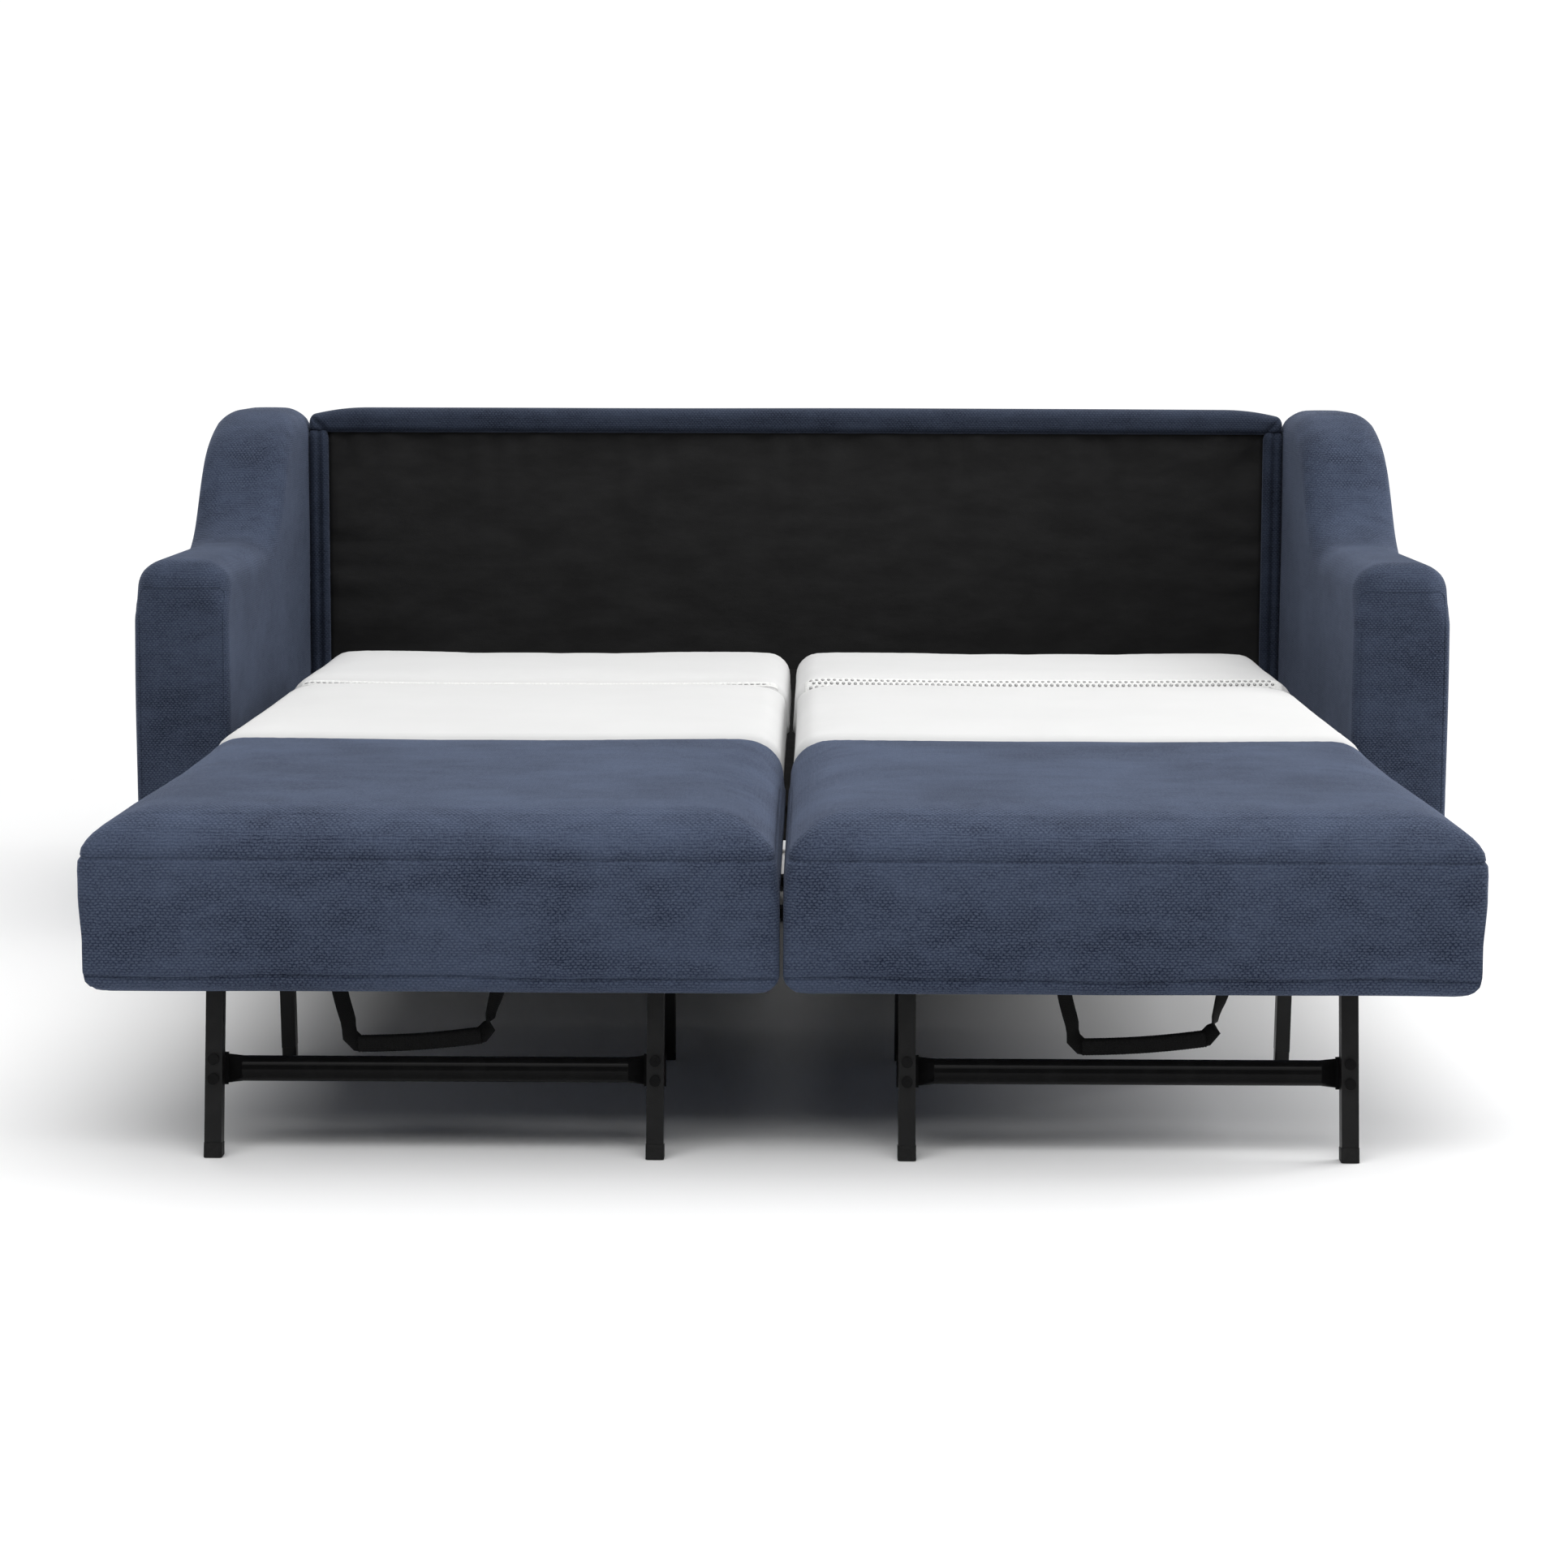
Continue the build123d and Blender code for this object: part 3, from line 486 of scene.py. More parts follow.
def swell(p, field, low):
    """Move points with the swollen pad; the underside stays flat on its frame."""
    tree, move = field
    shift = np.zeros_like(p)
    for i, q in enumerate(p):
        near = tree.find_n(q, 4)
        weight = np.array([1 / (d + 1e-4) for _, _, d in near])
        shift[i] = weight @ move[[k for _, k, _ in near]] / weight.sum()
    lift = np.clip((p[:, 2] - low[2]) / SWELL_FLAT_RISE, 0, 1)[:, None]
    return p + shift * lift * SWELL_SHARE


FIELDS = {}


def swelled_section(p, side, part):
    """Left and right sections share one swelling, mirrored across the middle."""
    low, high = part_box(f"right_{part}_mattress")
    if part not in FIELDS:
        FIELDS[part] = swell_field(low, high)
    flip = np.array((outward(side), 1, 1))
    return swell(p * flip, FIELDS[part], low) * flip


def outward(side):
    """Direction along x from the middle of the bed to a side."""
    return -1 if side == "left" else 1


def middle_share(p, low, high):
    """Distance from the middle of a section, -1 to 1 along x and along y."""
    u = (p[:, 0] - (low[0] + high[0]) / 2) / ((high[0] - low[0]) / 2)
    v = (p[:, 1] - (low[1] + high[1]) / 2) / ((high[1] - low[1]) / 2)
    return u, v


SEAM_Z = 0.354
LOWER_SEAM_Z = 0.217
FOLD_Z = 0.335
THREAD = 0.0008


def smooth_step(value, low, high):
    t = np.clip((value - low) / (high - low), 0, 1)
    return t * t * (3 - 2 * t)


def front_cushion_start(side, low, high, bottom, depth):
    """Rounded and swelled block of the front cushion, with the grid it was made from."""
    start_low, start_high = inset_box(low, high)
    start_low[1] = low[1] + 0.002
    xs = lines(start_low[0], start_high[0], 0.010)
    ys = lines(start_low[1], start_high[1], 0.010, (low[1] + depth,))
    zs = lines(bottom, start_high[2], 0.010, (LOWER_SEAM_Z, SEAM_Z))
    verts, faces = grid_box(xs, ys, zs)
    box_low = np.array((start_low[0], start_low[1], bottom))
    rise = smooth_step(verts[:, 2], 0.25, 0.34)
    rear = verts[:, 1] > (low[1] + high[1]) / 2
    roll_x = 0.030 + 0.050 * rise * np.clip((-0.15 - verts[:, 1]) / 0.5, 0, 1)
    roll_y = np.where(rear, 0.026, 0.022 + 0.062 * rise)
    roll_top = start_high[2] - SEAM_Z + 0.004
    p = round_box(verts, box_low, start_high, roll_x, roll_y, roll_top, 0.024, square=9.0)
    return swelled_section(p, side, "front"), verts, faces


def raise_underside(p, low, bottom, depth):
    """Behind the boxed front the cushion is only as thick as its mattress."""
    behind = np.clip((p[:, 1] - (low[1] + depth - 0.006)) / 0.005, 0, 1)
    share = np.clip((FOLD_Z - p[:, 2]) / (FOLD_Z - bottom), 0, 1)
    lifted = FOLD_Z - share * (FOLD_Z - low[2] - 0.001)
    p[:, 2] = np.where(p[:, 2] < FOLD_Z, p[:, 2] * (1 - behind) + lifted * behind, p[:, 2])


def shape_boxed_front(p, side, low, high, bottom):
    """Bulge between the front seams, pinch and pucker along them."""
    u, _ = middle_share(p, low, high)
    facing = np.clip(1 - (p[:, 1] - low[1]) / 0.045, 0, 1)
    flat = facing * np.clip(1 - np.abs(u) ** 8, 0, 1)
    between = np.clip((p[:, 2] - LOWER_SEAM_Z) / (SEAM_Z - LOWER_SEAM_Z), 0, 1)
    lip = np.clip((LOWER_SEAM_Z - p[:, 2]) / (LOWER_SEAM_Z - bottom), 0, 1)
    p[:, 1] -= flat * (0.006 * np.sin(between * math.pi) - 0.005 * lip)
    pucker = 1 + 0.35 * np.sin(p[:, 0] * 210) * np.sin(p[:, 0] * 47 + 1)
    p[:, 1] += facing * 0.0030 * pucker * bell(p[:, 2], SEAM_Z, 0.0026)
    p[:, 1] += facing * 0.0050 * pucker * bell(p[:, 2], LOWER_SEAM_Z, 0.0032)
    p[:, 1] += 0.0012 * ripple(p, 21 if side == "left" else 24, 26.0) * flat
    wave = np.sin(p[:, 0] * 11 + 0.6) + 0.5 * np.sin(p[:, 0] * 29)
    p[:, 2] += 0.0022 * wave * flat * bell(p[:, 2], LOWER_SEAM_Z, 0.018)


def shape_cushion_sides(p, side, low, high, u, v):
    """Pinch the side seam and let the outer side stand out, widest at the seam."""
    wall = np.clip((np.abs(u) - 0.93) / 0.05, 0, 1) * np.clip((low[1] + 0.62 - p[:, 1]) / 0.05, 0, 1)
    centre = (low[0] + high[0]) / 2
    p[:, 0] += np.sign(centre - p[:, 0]) * wall * 0.0026 * bell(p[:, 2], SEAM_Z, 0.0028)
    spread = np.clip((u * outward(side) - 0.70) / 0.25, 0, 1) * np.clip((0.8 - v) / 1.2, 0, 1)
    p[:, 0] += outward(side) * spread * (0.004 + 0.009 * np.clip((p[:, 2] - 0.26) / 0.08, 0, 1))


def front_seam_threads(side, p, verts):
    """Sunk threads along both seams of the boxed front."""
    first_row = verts[:, 1] < verts[:, 1].min() + 1e-6
    for label, z in (("top", SEAM_Z), ("lower", LOWER_SEAM_Z)):
        line = p[(np.abs(verts[:, 2] - z) < 0.0005) & first_row]
        line = line[np.argsort(line[:, 0])]
        points = [(q[0], q[1] + 0.0003, q[2]) for q in line]
        seam = tube_along(f"{side}_{label}_front_seam", points, THREAD, BLUE_SEAM)
        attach(seam, f"{side}_front_section")


def front_cushion(side):
    """Blue cushion of the front section with its boxed front, in one piece."""
    low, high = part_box(f"{side}_front_mattress")
    low, high = np.array(low), np.array(high)
    border_low, border_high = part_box(f"{side}_front_border")
    depth = border_high[1] - border_low[1]
    bottom = border_low[2]
    p, verts, faces = front_cushion_start(side, low, high, bottom, depth)
    raise_underside(p, low, bottom, depth)
    u, v = middle_share(p, low, high)
    shape_boxed_front(p, side, low, high, bottom)
    shape_cushion_sides(p, side, low, high, u, v)
    top = np.clip((p[:, 2] - 0.38) / 0.02, 0, 1)
    p[:, 2] += top * 0.0013 * ripple(p, 3 if side == "left" else 8, 10.0) * np.clip(1 - np.abs(v) ** 6, 0, 1)
    p[:, 2] = np.minimum(p[:, 2], high[2])
    inner = u * outward(side) <= 0.93
    p[inner, 0] = np.clip(p[inner, 0], low[0] - 0.001, high[0] + 0.001)
    obj = make_object(f"{side}_front_cushion", p, faces, BLUE)
    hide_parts(f"{side}_front_mattress", f"{side}_front_border")
    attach(obj, f"{side}_front_section")
    front_seam_threads(side, p, verts)


TICKING = {}


def ticking_section(side, part, seed):
    """White middle or rear section; the middle one sinks where it meets the rear one."""
    node = f"{side}_{part}_mattress"
    low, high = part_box(node)
    start_low, start_high = inset_box(low, high)
    verts, faces = grid_box(*(lines(start_low[i], start_high[i], 0.012) for i in range(3)))
    p = round_box(verts, start_low, start_high, 0.034, 0.030, 0.036, 0.012, 2.4)
    p = swelled_section(p, side, part)
    u, v = middle_share(p, low, high)
    pillow = np.clip((1 - u ** 4) * (1 - v ** 4), 0, 1)
    top = np.clip((p[:, 2] - (high[2] - 0.03)) / 0.02, 0, 1)
    p[:, 2] += top * 0.0012 * ripple(p, seed, 9.0) * pillow
    if part == "middle":
        p[:, 2] -= top * 0.008 * bell(p[:, 1], high[1], 0.08)
    p = np.clip(p, low, high)
    obj = make_object(f"{side}_{part}_ticking", p, faces, WHITE)
    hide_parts(node)
    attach(obj, f"{side}_{part}_section")
    TICKING[side, part] = obj


for side in SIDES:
    front_cushion(side)
    ticking_section(side, "middle", 31 if side == "left" else 37)
    ticking_section(side, "rear", 41 if side == "left" else 47)


# ---------------------------------------------------------------- arms and back

def arm_height(y):
    """Crown height of an arm at a depth, read along the shaped side."""
    ys = (-9, 0.640, 0.760, 0.850, 0.930, 1.010, 9)
    zs = (0.598, 0.598, 0.648, 0.748, 0.795, 0.812, 0.812)
    slopes = (0, 0, 0.85, 0.95, 0.38, 0, 0)
    for i in range(len(ys) - 1):
        if y <= ys[i + 1]:
            h = ys[i + 1] - ys[i]
            t = (y - ys[i]) / h
            a = 2 * t ** 3 - 3 * t ** 2 + 1
            b = t ** 3 - 2 * t ** 2 + t
            c = -2 * t ** 3 + 3 * t ** 2
            d = t ** 3 - t ** 2
            return a * zs[i] + b * h * slopes[i] + c * zs[i + 1] + d * h * slopes[i + 1]
    return zs[-1]


ARM_SEAM_IN = 0.007
ARM_SEAM_TOP = 0.556


def arm_cover(side):
    """Padded arm with rounded top edges that follow its S-curve."""
    node = f"{side}_arm_upholstery"
    low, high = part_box(node)
    seam_xs = (low[0] + ARM_SEAM_IN, high[0] - ARM_SEAM_IN)
    xs = lines(low[0], high[0], 0.009, seam_xs)
    ys = lines(low[1], high[1], 0.011)
    zs = lines(0.0, 1.0, 0.014, (0.965,))
    zs = np.array(sorted(set(np.round(zs, 5))))
    verts, faces = grid_box(xs, ys, zs)
    p = verts.copy()
    heights = np.array([arm_height(y) for y in ys])
    h = np.interp(verts[:, 1], ys, heights)
    p[:, 2] = low[2] + verts[:, 2] * (h - low[2])
    centre = (low[0] + high[0]) / 2
    half = (high[0] - low[0]) / 2
    # rounded top corners across the arm: work in a box of constant height
    q = p.copy()
    q[:, 2] = p[:, 2] - h
    box_low = np.array((low[0], low[1], -2.0))
    box_high = np.array((high[0], high[1], 0.0))
    grow = smooth_step(q[:, 2], -0.10, -0.04)
    q2 = round_box(q, box_low, box_high, 0.013 + 0.033 * grow, 0.012 + 0.034 * grow, 0.046, 0.01)
    p[:, 0], p[:, 1] = q2[:, 0], q2[:, 1]
    p[:, 2] = q2[:, 2] + h
    t = (p[:, 0] - centre) / half
    above = np.clip((q2[:, 2] + 0.02) / 0.02, 0, 1)
    p[:, 2] -= above * 0.006 * np.abs(t) ** 2.5
    # soft unevenness on the large faces
    wall = np.clip(1 - np.abs(np.abs(t) - 1) / 0.05, 0, 1)
    p[:, 0] += wall * 0.0018 * ripple(p, 61 if side == "left" else 67, 11.0)
    face = np.clip(1 - (p[:, 1] - low[1]) / 0.012, 0, 1)
    p[:, 1] += face * (0.0015 * np.abs(t) ** 2 - 0.002)
    for edge_x in seam_xs:
        p[:, 1] += face * 0.0016 * bell(verts[:, 0], edge_x, 0.0026) * (p[:, 2] < ARM_SEAM_TOP - 0.001)
    # the arm is in the darker copy of the blue cloth: painted shade
    obj = make_object(f"{side}_arm_cover", p, faces, BLUE_ARM_SHADED)
    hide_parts(node)
    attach(obj, "base")
    arm_front_seam(side, low, seam_xs, p, faces)


def arm_front_seam(side, low, seam_xs, cover_points, faces):
    """Stitched line around the front panel, laid on the cover as seen from the front."""
    x0, x1 = seam_xs
    corner = 0.014
    bend_z = ARM_SEAM_TOP - corner
    rising = np.linspace(low[2] + 0.01, bend_z - 0.002, 40)
    route = [(x0, z) for z in rising]
    for a in np.linspace(math.pi, math.pi / 2, 8):
        route.append((x0 + corner + corner * math.cos(a), bend_z + corner * math.sin(a)))
    route += [(x, ARM_SEAM_TOP) for x in np.linspace(x0 + 0.018, x1 - 0.018, 14)]
    for a in np.linspace(math.pi / 2, 0, 8):
        route.append((x1 - corner + corner * math.cos(a), bend_z + corner * math.sin(a)))
    route += [(x1, z) for z in rising[::-1]]
    tree = BVHTree.FromPolygons([Vector(q) for q in cover_points], faces)
    hits = [tree.ray_cast(Vector((x, low[1] - 0.2, z)), Vector((0, 1, 0)))[0] for x, z in route]
    points = [(hit.x, hit.y - 0.0004, hit.z) for hit in hits if hit is not None]
    seam = tube_along(f"{side}_arm_front_seam", points, THREAD, BLUE_SEAM)
    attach(seam, "base")


RAIL_EDGE_Z = 0.768
COVER_LAP = 0.004


def back_rail_cover():
    """Padded top rail, dipping at both ends where it is mitred into the side strips."""
    node = "back_top_rail_padding"
    low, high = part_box(node)
    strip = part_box("right_back_side_padding")[0][0]
    fine = np.arange(strip - 0.012, high[0] - 0.002, 0.004)
    middle = lines(-strip + 0.02, strip - 0.02, 0.014)
    xs = np.concatenate(((low[0],), -fine[::-1], middle, fine, (high[0],)))
    ys = lines(low[1], high[1], 0.008)
    zs = lines(RAIL_EDGE_Z, high[2], 0.005)
    verts, faces = grid_box(xs, ys, zs)
    p = round_box(verts, (low[0], low[1], RAIL_EDGE_Z), np.array(high), 0.010, 0.022, 0.020, 0.012)
    reach = high[0]
    end = np.clip((np.abs(p[:, 0]) - (reach - 0.10)) / 0.10, 0, 1)
    upper = np.clip((p[:, 2] - RAIL_EDGE_Z) / (high[2] - RAIL_EDGE_Z), 0, 1)
    p[:, 2] -= 0.013 * end ** 2 * upper
    facing = np.clip(1 - (p[:, 1] - low[1]) / 0.02, 0, 1)
    along = (np.abs(p[:, 0]) - strip) / (reach - strip)
    mitre = (along - upper) * 0.030
    p[:, 1] += facing * 0.007 * bell(mitre, 0, 0.0035) * np.clip(along * 8, 0, 1)
    p[:, 1] -= 0.002 * ripple(p, 71, 7.0) * facing
    p[:, 2] += 0.0010 * ripple(p, 73, 6.0) * upper
    # the rail is in the darker copy of the blue cloth: painted shade
    obj = make_object("back_rail_cover", p, faces, BLUE_BACK_SHADED)
    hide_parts(node)
    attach(obj, "base")


def side_strip_cover(side):
    """Narrow padded strip of the back beside an arm, with a crease down its middle."""
    node = f"{side}_back_side_padding"
    low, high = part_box(node)
    high = (high[0], high[1], RAIL_EDGE_Z + COVER_LAP)
    verts, faces = grid_box(*(lines(low[i], high[i], step) for i, step in enumerate((0.003, 0.004, 0.012))))
    p = round_box(verts, np.array(low), np.array(high), 0.010, 0.008, 0.004, 0.004)
    half = (high[0] - low[0]) / 2
    t = (p[:, 0] - (low[0] + high[0]) / 2) / half
    facing = np.clip(1 - (p[:, 1] - low[1]) / 0.012, 0, 1)
    p[:, 1] += facing * (0.006 * bell(t, 0.10, 0.22) + 0.002 * t ** 2 - 0.002 + 0.0015 * ripple(p, 83, 12.0))
    # the strip is in the darker copy of the blue cloth: painted shade
    obj = make_object(f"{side}_side_strip_cover", p, faces, BLUE_BACK_SHADED)
    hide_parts(node)
    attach(obj, "base")


def lining_cover():
    """Black cloth of the back, tucked behind its border with small pleats along the edges."""
    node = "back_inner_panel"
    low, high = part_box(node)
    low = (low[0] - 0.003, low[1], low[2])
    high = (high[0] + 0.003, high[1], RAIL_EDGE_Z + 0.006)
    xs = lines(low[0], high[0], 0.010)
    zs = lines(low[2], high[2], 0.010)
    verts, faces = grid_box(xs, np.array((low[1], high[1])), zs)
    p = verts.copy()
    from_side = np.minimum(p[:, 0] - low[0], high[0] - p[:, 0])
    from_top = high[2] - p[:, 2]
    near = np.minimum(from_side, from_top)
    pull = np.exp(-np.clip(near, 0, 1) / 0.07)
    along = np.where(from_top < from_side, p[:, 0], p[:, 2])
    pleat = np.sin(along * 95 + 2.0 * np.sin(along * 23)) * 0.5 + np.sin(along * 41 + 1.0) * 0.5
    held = np.clip(near / 0.006, 0, 1)
    p[:, 1] += -0.0055 * pull * held * pleat - 0.004 * held * np.clip(ripple(p, 91, 5.0), -1, 1)
    p[:, 1] = np.clip(p[:, 1], low[1] - 0.012, low[1] + 0.0035)
    back = verts[:, 1] > (low[1] + high[1]) / 2
    p[back, 1] += 0.0012
    obj = make_object("back_lining", p, faces, LINING)
    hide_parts(node)
    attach(obj, "base")


def outer_back_cover():
    """Cloth over the outside of the back, lapped past the frame above and below."""
    node = "back_outer_cover"
    low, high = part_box(node)
    low = (low[0], low[1], low[2] - COVER_LAP)
    high = (high[0], high[1], RAIL_EDGE_Z + COVER_LAP)
    verts, faces = grid_box(*(lines(low[i], high[i], step) for i, step in enumerate((0.02, 0.004, 0.02))))
    p = round_box(verts, np.array(low), np.array(high), 0.004, 0.004, 0.004, 0.004)
    p[:, 1] -= 0.0012 * (1 + ripple(p, 95, 5.0)) * (p[:, 1] > (low[1] + high[1]) / 2)
    obj = make_object("back_outer_cloth", p, faces, BLUE)
    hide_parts(node)
    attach(obj, "base")


for side in SIDES:
    arm_cover(side)
    side_strip_cover(side)
back_rail_cover()
lining_cover()
outer_back_cover()


# ---------------------------------------------------------------- straps

STRAP_WIDTH = 0.020
STRAP_THICKNESS = 0.0024
STRAP_TILT = 0.006
UPRIGHT_POINTS = 18


def strap_upright(x, y, top, bottom, way):
    """One hanging side of a strap from the top down, bulging the given way."""
    points = []
    for t in np.linspace(0, 1, UPRIGHT_POINTS):
        bulge = 0.009 * math.sin(min(1.0, t * 1.15) * math.pi) - 0.006 * t ** 3
        points.append((x + way * bulge, y, top + (bottom - top) * t))
    return points


def strap_path(low, high, grip_z):
    """Down one side, along the grip and up the other side."""
    y = (low[1] + high[1]) / 2
    x0, x1 = low[0] + 0.010, high[0] - 0.010
    path = strap_upright(x0, y, high[2], grip_z - STRAP_TILT + 0.010, -1)
    for t in np.linspace(0.06, 0.94, 26):
        x = x0 + 0.006 + (x1 - x0 - 0.012) * t
        path.append((x, y, grip_z - STRAP_TILT + 2 * STRAP_TILT * t - 0.003 * math.sin(t * math.pi)))
    return path + strap_upright(x1, y, high[2], grip_z + STRAP_TILT + 0.010, 1)[::-1]


def strap_webbing(side, path):
    """Flat webbing that turns from facing front on the sides to upright on the grip."""
    count = len(path)
    turn = []
    for i in range(count):
        upright = min(1.0, max(0.0, (UPRIGHT_POINTS - min(i, count - 1 - i)) / 8))
        turn.append((0.86 * upright, 0.50 * upright + 0.2 * (1 - upright), 1.0 - upright))
    sizes = [STRAP_WIDTH] * count, [STRAP_THICKNESS] * count
    return band_along(f"{side}_strap_webbing", path, turn, *sizes, WEBBING)


def strap_grip(side, path, grip_low, grip_high, grip_z):
    """Ribbed sleeve around the middle of the strap."""
    inside = [q for q in path if grip_low[0] + 0.004 < q[0] < grip_high[0] - 0.004 and q[2] < grip_z + 0.016]
    fine = []
    for a, b in zip(inside[:-1], inside[1:]):
        fine += [tuple(Vector(a).lerp(Vector(b), t)) for t in (0, 0.2, 0.4, 0.6, 0.8)]
    fine.append(inside[-1])
    count = len(fine)
    rib = [0.0010 if i % 3 == 0 else 0.0 for i in range(count)]
    widths = [0.0195 - r for r in rib]
    depths = [0.0125 - r for r in rib]
    return band_along(f"{side}_strap_grip", fine, [(0, 0, 1)] * count, widths, depths, WEBBING)


def pull_strap(side):
    """Hanging strap with its grip behind the front legs."""
    low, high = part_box(f"{side}_pull_strap")
    grip_low, grip_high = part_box(f"{side}_grip_sleeve")
    grip_z = (grip_low[2] + grip_high[2]) / 2
    path = strap_path(low, high, grip_z)
    band = strap_webbing(side, path)
    sleeve = strap_grip(side, path, grip_low, grip_high, grip_z)
    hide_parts(f"{side}_pull_strap")
    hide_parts(f"{side}_grip_sleeve")
    for obj in (band, sleeve):
        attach(obj, f"{side}_front_section")


for side in SIDES:
    pull_strap(side)


# ---------------------------------------------------------------- seams between sections

RAY_TREES = {}


def rear_height(side, x, y):
    """Height of the rear section's ticking below a place."""
    if side not in RAY_TREES:
        mesh = TICKING[side, "rear"].data
        corners = [v.co for v in mesh.vertices]
        RAY_TREES[side] = BVHTree.FromPolygons(corners, [tuple(f.vertices) for f in mesh.polygons])
    hit = RAY_TREES[side].ray_cast(Vector((x, y, 1.0)), Vector((0, 0, -1)))[0]
    if hit is None:
        hit = RAY_TREES[side].find_nearest(Vector((x, y, 0.40)))[0]
    return hit.z


def rear_surface(side, x, y, lift):
    """Points lifted a little off the rear section's ticking."""
    points = []
    reach = 0.001
    steepest = 3.0
    for px, py in zip(x, y):
        z = rear_height(side, px, py)
        slope = (rear_height(side, px, py + reach) - rear_height(side, px, py - reach)) / (2 * reach)
        slope = min(max(slope, -steepest), steepest)
        size = math.hypot(1, slope)
        points.append((px, py - lift * slope / size, z + lift / size))
    return np.array(points)


def tape_faces(n, m):
    """Faces of a thin closed sheet: m rows of n points above and the same rows below."""
    faces = []
    for layer in (0, 1):
        for j in range(m - 1):
            for i in range(n - 1):
                a = layer * m * n + j * n + i
                quad = (a, a + 1, a + n + 1, a + n)
                faces.append(quad if layer == 0 else quad[::-1])
    rim = list(range(n)) + [n * j + n - 1 for j in range(1, m)]
    rim += [(m - 1) * n + i for i in range(n - 2, -1, -1)] + [n * j for j in range(m - 2, 0, -1)]
    for a, b in zip(rim, rim[1:] + rim[:1]):
        faces.append((b, a, a + m * n, b + m * n))
    return faces


def seam_tape(side, low, high, y0, y1):
    """The tape itself, lying on the ticking."""
    xs = np.linspace(low[0], high[0], 160)
    ys = np.linspace(y0, y1, 9)
    rows = [rear_surface(side, xs, np.full(len(xs), y), lift) for lift in (0.0009, -0.0015) for y in ys]
    strip = make_object(f"{side}_seam_tape", np.concatenate(rows), tape_faces(len(xs), len(ys)), WHITE_SEAM)
    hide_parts(f"{side}_seam_mesh")
    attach(strip, f"{side}_rear_section")


def seam_eyelets(side, low, high, y0, y1, shares, long, short):
    """Rows of small grey marks along the tape: on the right they paint the shade inside the mesh holes, on
    the left they mark a stitched line.
    """
    pitch = 0.0095
    count = int((high[0] - low[0] - 0.02) / pitch)
    centres = low[0] + 0.01 + pitch * np.arange(count)
    angles = np.arange(8) * math.pi / 4
    verts, faces = [], []
    for number, share in enumerate(shares):
        y = y0 + share * (y1 - y0)
        for x in centres + pitch / 2 * (number % 2):
            start = len(verts)
            verts.extend(rear_surface(side, x + long * np.cos(angles), y + short * np.sin(angles), 0.0012))
            verts.extend(rear_surface(side, [x], [y], 0.0015))
            faces += [(start + k, start + (k + 1) % 8, start + 8) for k in range(8)]
            faces.append(tuple(start + k for k in range(7, -1, -1)))
    holes = make_object(f"{side}_mesh_eyelets", verts, faces, MESH_HOLE)
    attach(holes, f"{side}_rear_section")


def seam_mesh_strip(side):
    """Tape on the shoulder of the rear section: open mesh on the right, a stitched line on the left."""
    low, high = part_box(f"{side}_seam_mesh")
    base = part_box(f"{side}_rear_mattress")[0][1]
    if side == "right":
        y0, y1 = base + 0.006, base + 0.030
        pattern = (0.22, 0.50, 0.78), 0.0028, 0.0024
    else:
        y0, y1 = base + 0.012, base + 0.019
        pattern = (0.5,), 0.0036, 0.0008
    seam_tape(side, low, high, y0, y1)
    seam_eyelets(side, low, high, y0, y1, *pattern)


for side in SIDES:
    seam_mesh_strip(side)


# ---------------------------------------------------------------- materials of the carried-over nodes

PAINTS = {
    "front_crossbar": GLOSS,
    "crossbar_bolts": BOLT,
    "fold_pins": ZINC,
    "base_rail_bolts": ZINC,
    "front_leg_caps": PLASTIC,
    "arm_feet": PLASTIC,
    "base_glides": PLASTIC,
    # slats, guide board and back frame: timber painted near black as shade
    "rear_slats": SHADE_TIMBER,
    "middle_slats": SHADE_TIMBER,
    "front_slats": SHADE_TIMBER,
    "guide_board": SHADE_TIMBER,
    "back_timber_frame": SHADE_TIMBER,
    "arm_frame": TIMBER,
}

for name, obj in nodes.items():
    kind = name.removeprefix("left_").removeprefix("right_")
    obj.data.materials.clear()
    obj.data.materials.append(PAINTS.get(kind, STEEL))


# ---------------------------------------------------------------- stage, light, camera

FLOOR_DROP = 0.0006
FLOOR_FRONT_Y = -40.0
FLOOR_REAR_Y = 2.1
FLOOR_SIDE_X = 40.0


def build_stage():
    """Pale floor that ends just behind the back, where the white world takes over."""
    mat, tree, shader = new_material("floor_white")
    place = tree.nodes.new("ShaderNodeTexCoord").outputs["Object"]
    tone = noise_node(tree, place, 1.2, 2.0, 0.5)
    colour = mix_colour(tree, tone, (0.89, 0.89, 0.89), (0.91, 0.91, 0.91))
    tree.links.new(colour, shader.inputs["Base Color"])
    shader.inputs["Roughness"].default_value = 0.85
    shader.inputs["Specular IOR Level"].default_value = 0.1
    x, z = FLOOR_SIDE_X, -FLOOR_DROP
    verts = [(-x, FLOOR_FRONT_Y, z), (x, FLOOR_FRONT_Y, z), (x, FLOOR_REAR_Y, z), (-x, FLOOR_REAR_Y, z)]
    floor = make_object("studio_floor", verts, [(0, 1, 2, 3)], mat)


def area_light(name, place, target, size, power):
    """Rectangular lamp at a place, turned to a target."""
    light = bpy.data.lights.new(name, "AREA")
    light.shape = "RECTANGLE"
    light.size, light.size_y = size
    light.energy = power
    obj = bpy.data.objects.new(name, light)
    obj.location = place
    obj.rotation_euler = (Vector(target) - Vector(place)).to_track_quat("-Z", "Y").to_euler()
    bpy.context.scene.collection.objects.link(obj)


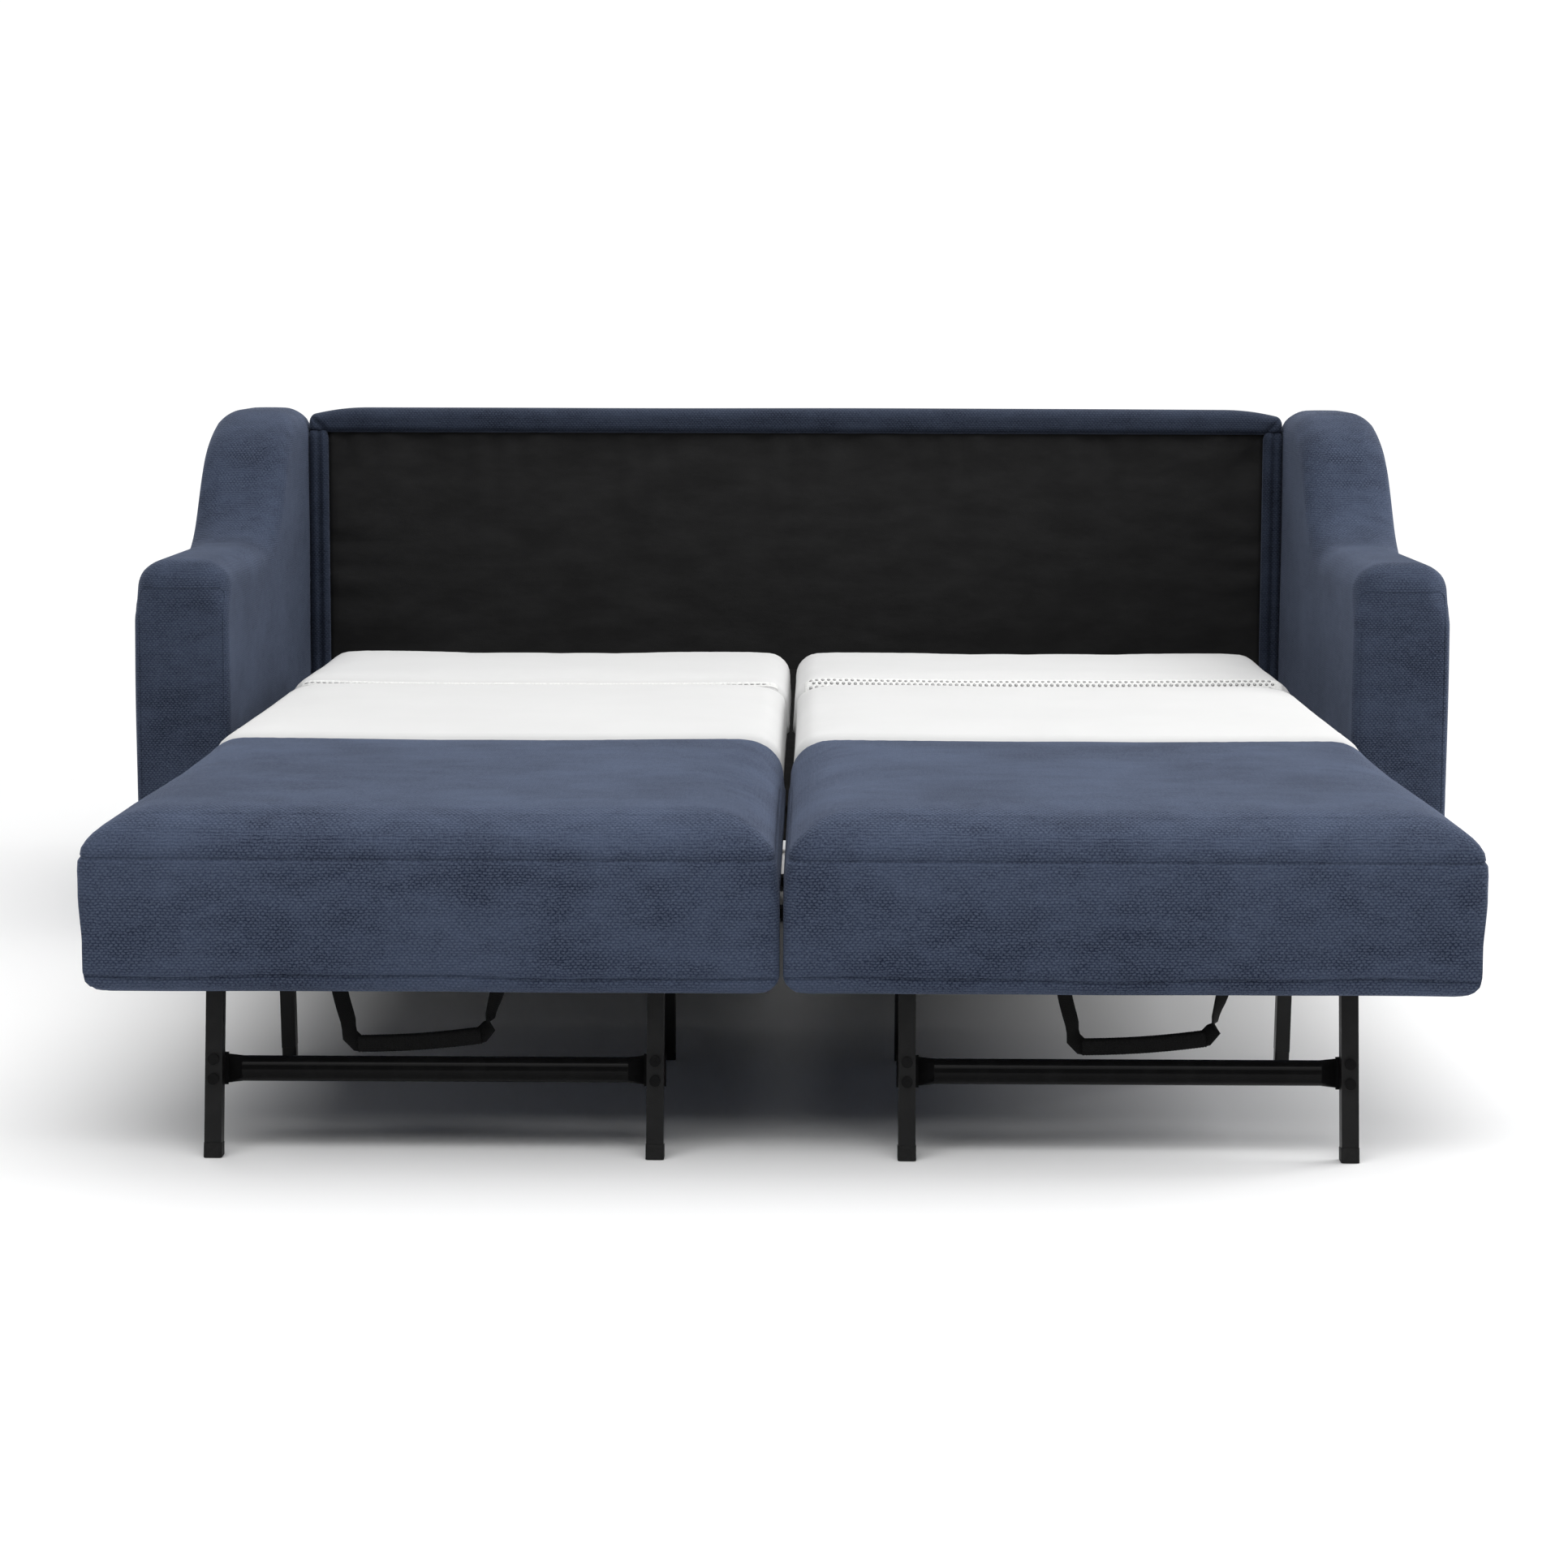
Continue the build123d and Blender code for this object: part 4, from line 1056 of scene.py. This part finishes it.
def build_light():
    """White behind and below the horizon, dim elsewhere, and three soft lamps."""
    world = bpy.data.worlds.new("studio")
    bpy.context.scene.world = world
    world.use_nodes = True
    tree = world.node_tree
    background = tree.nodes["Background"]
    part = tree.nodes.new("ShaderNodeSeparateXYZ")
    tree.links.new(tree.nodes.new("ShaderNodeTexCoord").outputs["Generated"], part.inputs[0])
    behind = tree.nodes.new("ShaderNodeMapRange")
    behind.interpolation_type = "SMOOTHSTEP"
    for socket, value in (("From Min", 0.45), ("From Max", 0.85), ("To Min", 0.10), ("To Max", 1.06)):
        behind.inputs[socket].default_value = value
    tree.links.new(part.outputs[1], behind.inputs["Value"])
    below = tree.nodes.new("ShaderNodeMapRange")
    for socket, value in (("From Min", 0.0), ("From Max", 0.02), ("To Min", 1.06), ("To Max", 0.0)):
        below.inputs[socket].default_value = value
    tree.links.new(part.outputs[2], below.inputs["Value"])
    background.inputs[0].default_value = (1.0, 1.0, 1.0, 1)
    tree.links.new(math_node(tree, "MAXIMUM", behind.outputs[0], below.outputs[0]), background.inputs[1])
    area_light("overhead", (0.0, 0.4, 4.6), (0.0, 0.4, 0.0), (9.0, 9.0), 385)
    area_light("front_high", (-0.5, -3.6, 4.2), (0.0, 0.0, 0.3), (5.0, 3.0), 100)
    area_light("key_right", (3.6, 0.3, 2.4), (-0.9, 0.5, 0.6), (2.4, 1.6), 95)


CAMERA_PLACE = (0.0386, -5.0570, 0.9759)
CAMERA_YAW = -0.0093
CAMERA_PITCH = 0.1106
CAMERA_ROLL = 0.0027


def build_camera():
    """The photo's view."""
    data = bpy.data.cameras.new("photo_view")
    data.sensor_width = 36.0
    data.lens = 78.34
    data.shift_y = -0.0558
    cam = bpy.data.objects.new("photo_view", data)
    cp, sp = math.cos(CAMERA_PITCH), math.sin(CAMERA_PITCH)
    cy, sy = math.cos(CAMERA_YAW), math.sin(CAMERA_YAW)
    forward = Vector((sy * cp, cy * cp, -sp))
    right = Vector((cy, -sy, 0.0))
    up = right.cross(forward)
    cr, sr = math.cos(CAMERA_ROLL), math.sin(CAMERA_ROLL)
    r = right * cr + up * sr
    u = up * cr - right * sr
    m = Matrix((r, u, -forward)).transposed().to_4x4()
    m.translation = Vector(CAMERA_PLACE)
    cam.matrix_world = m
    bpy.context.scene.collection.objects.link(cam)
    bpy.context.scene.camera = cam


build_stage()
build_light()
build_camera()
bpy.context.scene.view_settings.view_transform = "Standard"
